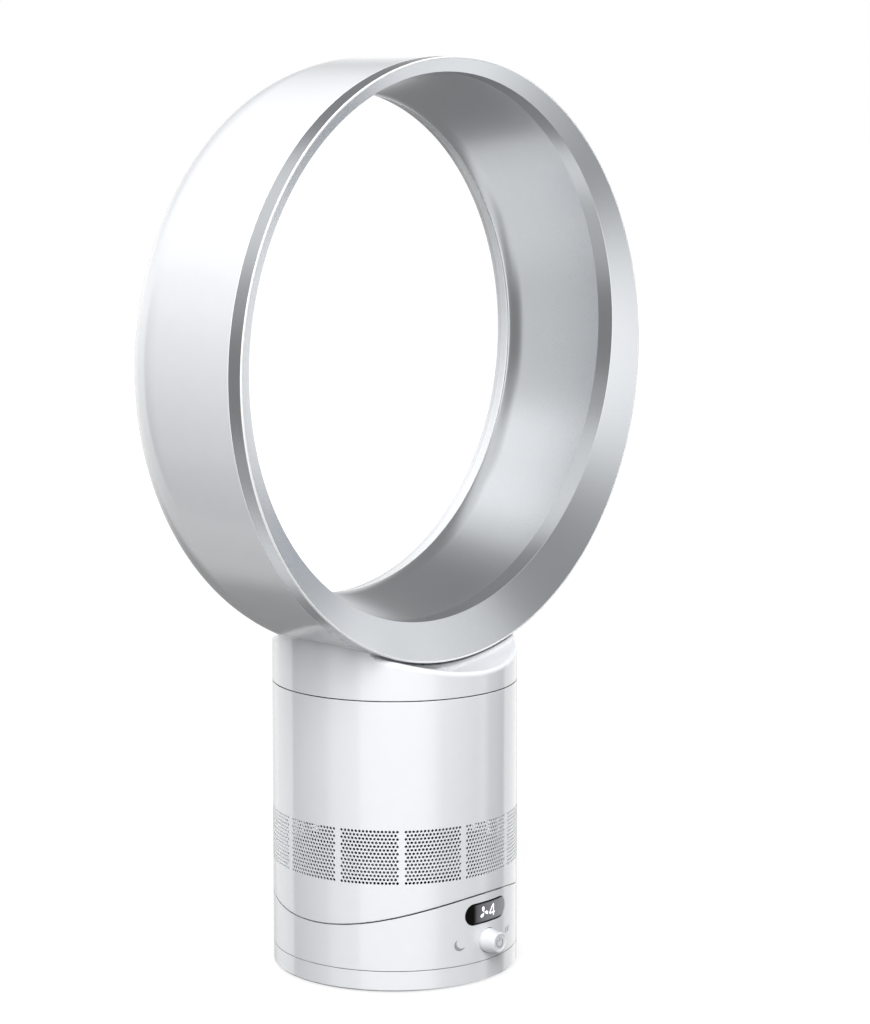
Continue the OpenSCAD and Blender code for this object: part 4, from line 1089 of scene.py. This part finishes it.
@dataclass
class FrontPanel:
    """The display window, the signs and the power button of the control base.

    Attributes:
        radius: Outside radius of the control base.
        window_l: Length of the window.
        window_h: Height of the window.
        window_z: Height of the window's middle.
        window_t: Thickness of the window.
        window_edge: Rounding of its edge.
        window_bevel: Inset and depth of the middle of that rounding.
        fit: Gap round the window.
        film_left: Where the display film begins and is whole, along X.
        film_edge: Where it begins and is whole, in from the upper and lower edges.
        film_light: Where it is darkest and lightest, along X.
        film_colours: Its sRGB hex colours at those places.
        button_r: Radius of the button at the casing.
        tip_r: Radius of the button's end.
        tip_y: Depth of the button's end.
        dish: Depth of the dish in the button's end.
        button_z: Height of the button's middle.
        ink: Thickness of a printed sign.
        moon_at: Place of the sleep timer's sign, seen from the front.
        moon_r: Radius of the moon's outside.
        moon_t: Thickness of its tips and how much thicker its middle is.
        moon_span: Where it begins and how far it turns, in degrees.
        swing_at: Place of the swivel's sign.
        ring_r: Outside radius of the ring of the power sign.
        ring_t: Thickness of its ends and how much thicker its middle is.
        ring_span: Where that ring begins and how far it turns, in degrees.
        fan_at: Place of the fan's sign on the display.
        blade_r: Radius where a blade begins, and its length.
        blade_half: Half width of a blade at its ends and how much its middle adds, in degrees.
        blade_lean: How far a blade leans back on its way out, in degrees.
        digit_at: Place of the lower left corner of the digit on the display.
    """

    radius: float = 75.0
    window_l: float = 37.0
    window_h: float = 13.4
    window_z: float = 43.5
    window_t: float = 2.5
    window_edge: float = 0.35
    window_bevel: float = 0.1
    fit: float = 0.15
    film_left: Span = (-12.2, -8.6)
    film_edge: Span = (0.7, 1.7)
    film_light: Span = (-9.4, 16.0)
    film_colours: tuple[str, str] = ("#626266", "#B2B2B7")
    button_r: float = 7.3
    tip_r: float = 6.1
    tip_y: float = -84.6
    dish: float = 0.35
    button_z: float = 25.7
    ink: float = 0.05
    moon_at: Place = (-22.0, 26.6)
    moon_r: float = 3.7
    moon_t: Span = (0.1, 2.0)
    moon_span: Span = (117.0, 216.0)
    swing_at: Place = (21.6, 27.0)
    ring_r: float = 3.1
    ring_t: Span = (0.75, 0.0)
    ring_span: Span = (128.0, 284.0)
    fan_at: Place = (-3.5, 43.5)
    blade_r: Span = (0.3, 3.4)
    blade_half: Span = (9.0, 17.0)
    blade_lean: float = 18.0
    digit_at: Place = (1.4, 40.1)

    def on_wall(self, x: float, z: float, proud: float = 0.0) -> Point:
        """Gives the point of the curved wall behind a place seen from the front."""
        radius = self.radius + proud
        return (x, -math.sqrt(radius ** 2 - x ** 2), z)

    def window(self) -> None:
        """Makes the glossy window, flush with the wall and rounded at its edge."""
        steps, rows = 60, 12
        edge, bevel = self.window_edge, self.window_bevel
        big = self.window_h / 2 - self.fit
        side = (self.window_l - self.window_h) / 2
        layers = ((edge, 0.0), (bevel, -bevel), (0.0, -edge), (0.0, -self.window_t))
        points: list[Point] = []
        faces: list[list[int]] = []
        columns = [math.cos(math.pi * i / steps) for i in range(steps + 1)]
        grid = {}
        for face, (inset, proud) in enumerate((layers[0], layers[-1])):
            size = big - inset
            for i, share in enumerate(columns):
                x = -(side + size) * share
                tall = math.sqrt(max(0.0, size ** 2 - max(0.0, abs(x) - side) ** 2))
                for k in range(rows + 1):
                    grid[face, i, k] = len(points)
                    points.append(self.on_wall(x, self.window_z + tall * (2 * k / rows - 1), proud))
        for face in (0, 1):
            for i in range(steps):
                for k in range(rows):
                    corners = ((i, k), (i + 1, k), (i + 1, k + 1), (i, k + 1))
                    faces.append([grid[(face, *corner)] for corner in corners])
        border = [(i, 0) for i in range(steps + 1)] + [(i, rows) for i in range(steps, -1, -1)]
        rings = [[grid[(0, *place)] for place in border]]
        for inset, proud in layers[1:-1]:
            size = big - inset
            ring = []
            for i, k in border:
                x = -(side + size) * columns[i]
                tall = math.sqrt(max(0.0, size ** 2 - max(0.0, abs(x) - side) ** 2))
                ring.append(len(points))
                points.append(self.on_wall(x, self.window_z + (tall if k else -tall), proud))
            rings.append(ring)
        rings.append([grid[(1, *place)] for place in border])
        for outer, inner in zip(rings, rings[1:]):
            for i in range(len(border)):
                k = (i + 1) % len(border)
                faces.append([outer[i], outer[k], inner[k], inner[i]])
        mesh = new_mesh("display_window", points, faces)
        mesh.materials.append(self.window_material())
        weigh_normals(link("window_lens", mesh, "control_base", "dark_window", "display_window"))

    def window_material(self) -> bpy.types.Material:
        """Builds the smoked acrylic with the paler display film that shows through it.

        The film begins behind a black border at the left and is lighter to the right.

        Returns:
            The material.
        """
        material = SMOKED_ACRYLIC.material()
        tree = material.node_tree
        shader = tree.nodes["Principled BSDF"]
        smoke = shader.inputs["Base Color"].links[0].from_socket
        where = add_node(tree, "ShaderNodeTexCoord").outputs["Object"]
        place = add_node(tree, "ShaderNodeSeparateXYZ", {0: where})
        film = add_node(tree, "ShaderNodeMapRange", {
            0: place.outputs["X"], 1: self.film_left[0] * MM, 2: self.film_left[1] * MM,
            3: 0.0, 4: 1.0,
        }, interpolation_type="SMOOTHSTEP")
        rise = add_node(tree, "ShaderNodeMath", {
            0: place.outputs["Z"], 1: self.window_z * MM,
        }, operation="SUBTRACT")
        away = add_node(tree, "ShaderNodeMath", {0: rise.outputs[0]}, operation="ABSOLUTE")
        outer, whole = (self.window_h / 2 - inset for inset in self.film_edge)
        inside = add_node(tree, "ShaderNodeMapRange", {
            0: away.outputs[0], 1: outer * MM, 2: whole * MM, 3: 0.0, 4: 1.0,
        }, interpolation_type="SMOOTHSTEP")
        lighter = add_node(tree, "ShaderNodeMapRange", {
            0: place.outputs["X"], 1: self.film_light[0] * MM, 2: self.film_light[1] * MM,
            3: 0.0, 4: 1.0,
        })
        dark, light = map(to_linear, self.film_colours)
        shade = add_node(
            tree, "ShaderNodeMix", {0: lighter.outputs[0], "A": dark, "B": light}, data_type="RGBA"
        )
        share = add_node(
            tree, "ShaderNodeMath", {0: film.outputs[0], 1: inside.outputs[0]}, operation="MULTIPLY"
        )
        seen = add_node(tree, "ShaderNodeMix", {
            0: share.outputs[0], "A": smoke, "B": shade.outputs["Result"],
        }, data_type="RGBA")
        tree.links.new(seen.outputs["Result"], shader.inputs["Base Color"])
        return material

    def button(self) -> None:
        """Makes the power button, with a dished end inside its rim."""
        end, floor = self.tip_y, self.tip_y + self.dish
        dish = [(0.0, floor), (4.3, floor), (4.9, floor - 0.05), (5.15, end)]
        rim = [(5.5, end), (5.85, end + 0.1), (6.04, end + 0.3), (self.tip_r, end + 0.6)]
        wall = [
            (self.tip_r + 0.1, end + 1.5), (self.button_r - 0.05, -76.5), (self.button_r, -76.0),
            (self.button_r, -72.5),
        ]
        flange = [(self.button_r + 1.6, -72.0), (self.button_r + 1.6, -70.2)]
        pusher = [(1.7, -70.2), (1.7, -66.0), (0.0, -66.0)]
        profile = dish + rim + wall + flange + pusher
        rings = turned([(max(r, 0.001), y, self.button_z) for r, y in profile], 96)
        mesh = new_mesh("power_button", *lofted(rings, closed=False))
        weigh_normals(link("button_cap", mesh, "button", "white_plastic", "power_button"))

    def sign(
        self, name: str, strips: Sequence[Strip], finish: Finish, body: str = "control_base",
        face_y: float | None = None,
    ) -> None:
        """Makes a thin sign of strips, on the curved wall or on a flat face.

        Args:
            name: Name of the piece.
            strips: Its strips.
            finish: Its material.
            body: The body that it moves with.
            face_y: Depth of the flat face, or none for the wall.
        """
        points: list[Point] = []
        faces: list[list[int]] = []
        for strip in strips:
            start = len(points)
            for x1, z1, x2, z2 in strip:
                for proud in (self.ink, -self.ink):
                    for x, z in ((x1, z1), (x2, z2)):
                        if face_y is None:
                            points.append(self.on_wall(x, z, proud))
                        else:
                            points.append((x, face_y - proud, z))
            for i in range(len(strip) - 1):
                a, b = start + 4 * i, start + 4 * (i + 1)
                for k, m in ((0, 1), (1, 3), (3, 2), (2, 0)):
                    faces.append([a + k, a + m, b + m, b + k])
            last = start + 4 * (len(strip) - 1)
            faces += [[start, start + 2, start + 3, start + 1], [last, last + 1, last + 3, last + 2]]
        mesh = new_mesh(name, points, faces)
        mesh.materials.append(finish.material())
        link(name, mesh, body, "grey_plastic" if finish is PRINT_INK else "white_plastic")

    def bar(self, x1: float, z1: float, x2: float, z2: float, width: float) -> Strip:
        """Draws a straight stroke between two places.

        Args:
            x1: The first place along X.
            z1: Its height.
            x2: The second place along X.
            z2: Its height.
            width: Width of the stroke.

        Returns:
            The stroke's strip.
        """
        along = Vector((x2 - x1, z2 - z1))
        side = Vector((-along.y, along.x)).normalized() * width / 2
        steps = 6
        rows = []
        for i in range(steps + 1):
            x, z = x1 + along.x * i / steps, z1 + along.y * i / steps
            rows.append((x + side.x, z + side.y, x - side.x, z - side.y))
        return rows

    def hoop(self, at: Place, radius: float, thick: Span, span: Span, steps: int) -> Strip:
        """Draws an open ring or a crescent round a place.

        Args:
            at: The place.
            radius: Its outside radius.
            thick: Thickness of its ends and how much thicker its middle is.
            span: Where it begins and how far it turns, in degrees.
            steps: Steps of its turn.

        Returns:
            The ring's strip.
        """
        x, z = at
        rows = []
        for i in range(steps + 1):
            a = math.radians(span[0] + span[1] * i / steps)
            inner = radius - thick[0] - thick[1] * math.sin(math.pi * i / steps)
            rows.append((
                x + radius * math.cos(a), z + radius * math.sin(a),
                x + inner * math.cos(a), z + inner * math.sin(a),
            ))
        return rows

    def blade(self, start: float) -> Strip:
        """Draws a blade of the fan's sign, which is widest just short of its middle.

        Args:
            start: Turn of its root, in degrees.

        Returns:
            The blade's strip.
        """
        x, z = self.fan_at
        steps, skew = 12, 0.9
        root, length = self.blade_r
        narrow, swell = self.blade_half
        rows = []
        for i in range(steps + 1):
            r = root + length * i / steps
            half = math.radians(narrow + swell * math.sin(math.pi * (i / steps) ** skew))
            lean = math.radians(start - self.blade_lean * i / steps)
            rows.append((
                x + r * math.cos(lean - half), z + r * math.sin(lean - half),
                x + r * math.cos(lean + half), z + r * math.sin(lean + half),
            ))
        return rows

    def signs(self) -> None:
        """Makes the printed signs of the controls and the lit signs of the display."""
        moon = self.hoop(self.moon_at, self.moon_r, self.moon_t, self.moon_span, 24)
        self.sign("sleep_sign", [moon], PRINT_INK)
        x, z = self.swing_at
        strokes = [
            self.bar(x + dx - 0.8, z - 1.6, x + dx + 0.6, z + 1.7, 1.1) for dx in (-1.4, 1.6)
        ]
        self.sign("swivel_sign", strokes, PRINT_INK)
        z = self.button_z
        ring = self.hoop((0.0, z), self.ring_r, self.ring_t, self.ring_span, 40)
        stroke = self.bar(0.0, z + 0.9, 0.0, z + 3.5, self.ring_t[0])
        self.sign("power_sign", [ring, stroke], PRINT_INK, "button", self.tip_y + self.dish)
        blades = [self.blade(start) for start in (0, 120, 240)]
        self.sign("display_fan_sign", blades, LIT_MASK)
        x, z = self.digit_at
        self.sign("display_digit", [
            self.bar(x + 3.9, z, x + 3.9, z + 7.0, 0.9),
            self.bar(x, z + 1.8, x + 3.45, z + 1.8, 0.85),
            self.bar(x + 4.35, z + 1.8, x + 5.3, z + 1.8, 0.85),
            self.bar(x + 0.3, z + 2.2, x + 3.3, z + 6.7, 0.75),
        ], LIT_MASK)

    def build(self) -> None:
        """Builds the front panel."""
        self.window()
        self.button()
        self.signs()


@dataclass(frozen=True)
class Card:
    """A soft box or a black flag of the studio, far off, as the gloss of a piece shows it.

    Attributes:
        name: What it is.
        sides: Its two sides, in degrees from the front, + towards -X.
        ends: Its lower and upper ends, in degrees above the horizon.
        level: Light that it adds to the white surround, or takes away.
        fade: Width of its faded edge at each side and at both ends, in degrees.
    """

    name: str
    sides: Span
    ends: Span
    level: float
    fade: tuple[float, float, float] = (4.0, 4.0, 10.0)


CARDS = (
    Card("key_box", (13, 81), (-38, 27), 0.88, (22, 4, 16)),
    Card("high_box", (92, 146), (26, 84), 0.42, (16, 16, 16)),
    Card("rear_box", (159, 200), (-26, 12), 0.35, (3, 14, 16)),
    Card("right_box", (-112, -54), (-66, 29), 0.32, (4, 16, 14)),
    Card("left_flag", (112, 159), (-27, 16), -0.71, (12, 3, 22)),
    Card("left_high_flag", (122, 147), (17, 50), -0.45, (6, 8, 9)),
    Card("left_low_flag", (134, 156), (-50, -27), -0.45, (6, 8, 9)),
    Card("right_flag", (-76, -48), (-30, 20), -0.95, (5, 12, 16)),
    Card("front_flag", (-38, 6), (-45, 49), -0.62, (12, 16, 14)),
    Card("high_rear_flag", (179, 242), (14, 72), -0.68, (22, 6, 18)),
    Card("low_rear_flag", (-174, -118), (-70, -18), -0.72, (16, 6, 16)),
    Card("table_flag", (-20, 100), (-100, -54), -0.5, (20, 20, 12)),
    Card("floor_flag", (-200, 200), (-100, -70), -0.36, (4, 4, 14)),
)


@dataclass(frozen=True)
class Lamp:
    """A soft box that lights the fan. The gloss shows the cards of the surround instead.

    Attributes:
        name: What it is.
        turn: Its turn from the front, + towards -X, in degrees.
        rise: Its rise above the horizon, in degrees.
        size: Its side, in metres.
        power: Its power, in watts.
    """

    name: str
    turn: float
    rise: float
    size: float
    power: float


LAMPS = (
    Lamp("key_lamp", 52.0, 38.0, 1.8, 77.0),
    Lamp("side_lamp", -35.0, 22.0, 1.6, 10.0),
    Lamp("top_lamp", 20.0, 80.0, 1.6, 14.0),
    Lamp("rim_lamp", 190.0, 30.0, 1.6, 40.0),
)


@dataclass
class Studio:
    """The floor, the lamps, the white surround and the camera.

    Attributes:
        floor_m: Side of the floor, in metres.
        camera_at: Place of the camera, in millimetres.
        yaw: Turn of the camera from the front to the right, in degrees.
        pitch: Tilt of the camera, in degrees.
        focal_px: Focal length, in pixels of the picture.
        picture_px: Longer side of the picture, in pixels.
        sensor_mm: Longer side of the sensor.
        sight_m: How far the camera sees, in metres.
        fill: Light of the surround on the object.
        least: Least light that a flag leaves.
        lit_m: The place that the lamps face, in metres.
        lamp_m: Distance of the lamps from it, in metres.
        paper: Albedo of the floor.
        glow_near: Light of the floor to the camera under the object.
        glow_reach: Where the floor's glow begins and ends to rise to white, in metres.
    """

    floor_m: float = 40.0
    camera_at: Point = (-1315.6, -1184.0, 536.5)
    yaw: float = 48.81
    pitch: float = -8.29
    focal_px: float = 2951.0
    picture_px: float = 1024.0
    sensor_mm: float = 36.0
    sight_m: float = 50.0
    fill: float = 0.22
    least: float = 0.05
    lit_m: Point = (0.0, 0.0, 0.25)
    lamp_m: float = 2.6
    paper: float = 0.22
    glow_near: float = 0.8
    glow_reach: Span = (0.3, 0.9)

    def camera(self) -> None:
        """Places the camera of the photograph."""
        data = bpy.data.cameras.new("camera")
        data.sensor_fit = "AUTO"
        data.sensor_width = self.sensor_mm
        data.lens = self.focal_px / self.picture_px * self.sensor_mm
        data.clip_end = self.sight_m
        camera = bpy.data.objects.new("camera", data)
        camera.location = Vector(self.camera_at) * MM
        camera.rotation_euler = Euler((math.radians(90 + self.pitch), 0.0, math.radians(-self.yaw)))
        bpy.context.scene.collection.objects.link(camera)
        bpy.context.scene.camera = camera

    def card_light(
        self, tree: bpy.types.NodeTree, card: Card,
        turn: bpy.types.NodeSocket, rise: bpy.types.NodeSocket,
    ) -> bpy.types.NodeSocket:
        """Draws a card into the surround.

        Args:
            tree: The surround's node tree.
            card: The card.
            turn: The turn of the direction that is looked in.
            rise: Its rise.

        Returns:
            The light that the card adds.
        """
        middle = sum(card.sides) / 2
        off = add_node(
            tree, "ShaderNodeMath", {0: turn, 1: math.radians(middle)}, operation="SUBTRACT"
        )
        wrapped = add_node(
            tree, "ShaderNodeMath", {0: off.outputs[0], 1: math.pi, 2: -math.pi}, operation="WRAP"
        ).outputs[0]
        left, right, end = card.fade
        light: Any = card.level
        for value, edge, width in (
            (wrapped, card.sides[0] - middle, left), (wrapped, card.sides[1] - middle, -right),
            (rise, card.ends[0], end), (rise, card.ends[1], -end),
        ):
            share = add_node(tree, "ShaderNodeMapRange", {
                0: value, 1: math.radians(edge - width / 2), 2: math.radians(edge + width / 2),
            }, interpolation_type="SMOOTHSTEP")
            light = add_node(
                tree, "ShaderNodeMath", {0: light, 1: share.outputs[0]}, operation="MULTIPLY"
            ).outputs[0]
        return light

    def shown(self, tree: bpy.types.NodeTree) -> tuple[bpy.types.NodeSocket, bpy.types.Node]:
        """Tells the rays that a picture shows from those that only light the object.

        Args:
            tree: A node tree.

        Returns:
            One for camera, glossy and transmission rays, and the node that knows the ray.
        """
        path = add_node(tree, "ShaderNodeLightPath")
        seen = add_node(tree, "ShaderNodeMath", {
            0: path.outputs["Is Camera Ray"], 1: path.outputs["Is Glossy Ray"],
        }, operation="MAXIMUM")
        both = add_node(tree, "ShaderNodeMath", {
            0: seen.outputs[0], 1: path.outputs["Is Transmission Ray"],
        }, operation="MAXIMUM")
        return both.outputs[0], path

    def surround(self) -> None:
        """Makes the white surround, with the cards that the gloss shows in it."""
        world = bpy.data.worlds.new("studio")
        world.use_nodes = True
        bpy.context.scene.world = world
        tree = world.node_tree
        tree.nodes.clear()
        where = add_node(tree, "ShaderNodeTexCoord")
        split = add_node(tree, "ShaderNodeSeparateXYZ", {0: where.outputs["Generated"]})
        left, front = (
            add_node(tree, "ShaderNodeMath", {0: split.outputs[axis], 1: -1.0}, operation="MULTIPLY")
            for axis in ("X", "Y")
        )
        turn = add_node(
            tree, "ShaderNodeMath", {0: left.outputs[0], 1: front.outputs[0]}, operation="ARCTAN2"
        ).outputs[0]
        rise = add_node(
            tree, "ShaderNodeMath", {0: split.outputs["Z"]}, operation="ARCSINE"
        ).outputs[0]
        cards: Any = 0.0
        for card in CARDS:
            cards = add_node(tree, "ShaderNodeMath", {
                0: self.card_light(tree, card, turn, rise), 1: cards,
            }, operation="ADD").outputs[0]
        shown, path = self.shown(tree)
        in_gloss = add_node(
            tree, "ShaderNodeMath", {0: cards, 1: path.outputs["Is Glossy Ray"]},
            operation="MULTIPLY",
        )
        base = add_node(tree, "ShaderNodeMapRange", {0: shown, 3: self.fill, 4: 1.0})
        both = add_node(
            tree, "ShaderNodeMath", {0: in_gloss.outputs[0], 1: base.outputs[0]}, operation="ADD"
        )
        level = add_node(
            tree, "ShaderNodeMath", {0: both.outputs[0], 1: self.least}, operation="MAXIMUM"
        )
        light = add_node(
            tree, "ShaderNodeBackground", {"Color": WHITE, "Strength": level.outputs[0]}
        )
        add_node(tree, "ShaderNodeOutputWorld", {"Surface": light.outputs[0]})

    def floor(self) -> None:
        """Lays the pale floor, white to the camera but for the shadow of the fan."""
        s = self.floor_m / 2
        mesh = bpy.data.meshes.new("floor")
        mesh.from_pydata([(-s, -s, 0), (s, -s, 0), (s, s, 0), (-s, s, 0)], [], [(0, 1, 2, 3)])
        floor = bpy.data.objects.new("floor", mesh)
        bpy.context.scene.collection.objects.link(floor)
        floor.visible_glossy = False
        material = bpy.data.materials.new("white_paper_floor")
        material.use_nodes = True
        tree = material.node_tree
        tree.nodes.clear()
        shown, _ = self.shown(tree)
        where = add_node(tree, "ShaderNodeTexCoord").outputs["Object"]
        away = add_node(tree, "ShaderNodeVectorMath", {0: where}, operation="LENGTH")
        near, far = self.glow_reach
        white = add_node(tree, "ShaderNodeMapRange", {
            0: away.outputs["Value"], 1: near, 2: far, 3: self.glow_near, 4: 1.0,
        })
        glow = add_node(
            tree, "ShaderNodeMath", {0: shown, 1: white.outputs[0]}, operation="MULTIPLY"
        )
        grey = (self.paper, self.paper, self.paper, 1.0)
        paper = add_node(tree, "ShaderNodeBsdfDiffuse", {"Color": grey})
        light = add_node(
            tree, "ShaderNodeEmission", {"Color": WHITE, "Strength": glow.outputs[0]}
        )
        both = add_node(tree, "ShaderNodeAddShader", {0: paper.outputs[0], 1: light.outputs[0]})
        add_node(tree, "ShaderNodeOutputMaterial", {"Surface": both.outputs[0]})
        mesh.materials.append(material)

    def hang(self, lamp: Lamp) -> None:
        """Hangs a lamp, out of sight of the gloss.

        Args:
            lamp: The lamp.
        """
        data = bpy.data.lights.new(lamp.name, "AREA")
        data.shape = "SQUARE"
        data.size = lamp.size
        data.energy = lamp.power
        piece = bpy.data.objects.new(lamp.name, data)
        piece.visible_glossy = False
        turn, rise = math.radians(lamp.turn), math.radians(lamp.rise)
        middle = Vector(self.lit_m)
        piece.location = middle + self.lamp_m * Vector((
            -math.sin(turn) * math.cos(rise), -math.cos(turn) * math.cos(rise), math.sin(rise)
        ))
        piece.rotation_euler = (middle - piece.location).to_track_quat("-Z", "Y").to_euler()
        bpy.context.scene.collection.objects.link(piece)

    def build(self) -> None:
        """Builds the whole stage."""
        self.camera()
        self.surround()
        self.floor()
        for lamp in LAMPS:
            self.hang(lamp)


def main() -> None:
    """Builds the fan's looks and reports each piece."""
    logging.basicConfig(level=logging.INFO, format="%(name)s: %(message)s")
    for name in ("Cube", "Light", "Camera"):
        old = bpy.data.objects.get(name)
        if old:
            bpy.data.objects.remove(old)
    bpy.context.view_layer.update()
    bpy.context.scene.view_settings.view_transform = "Standard"
    Studio().build()
    dress_nodes()
    Loop().build()
    AirBody().build()
    FrontPanel().build()


if __name__ == "__main__":
    main()
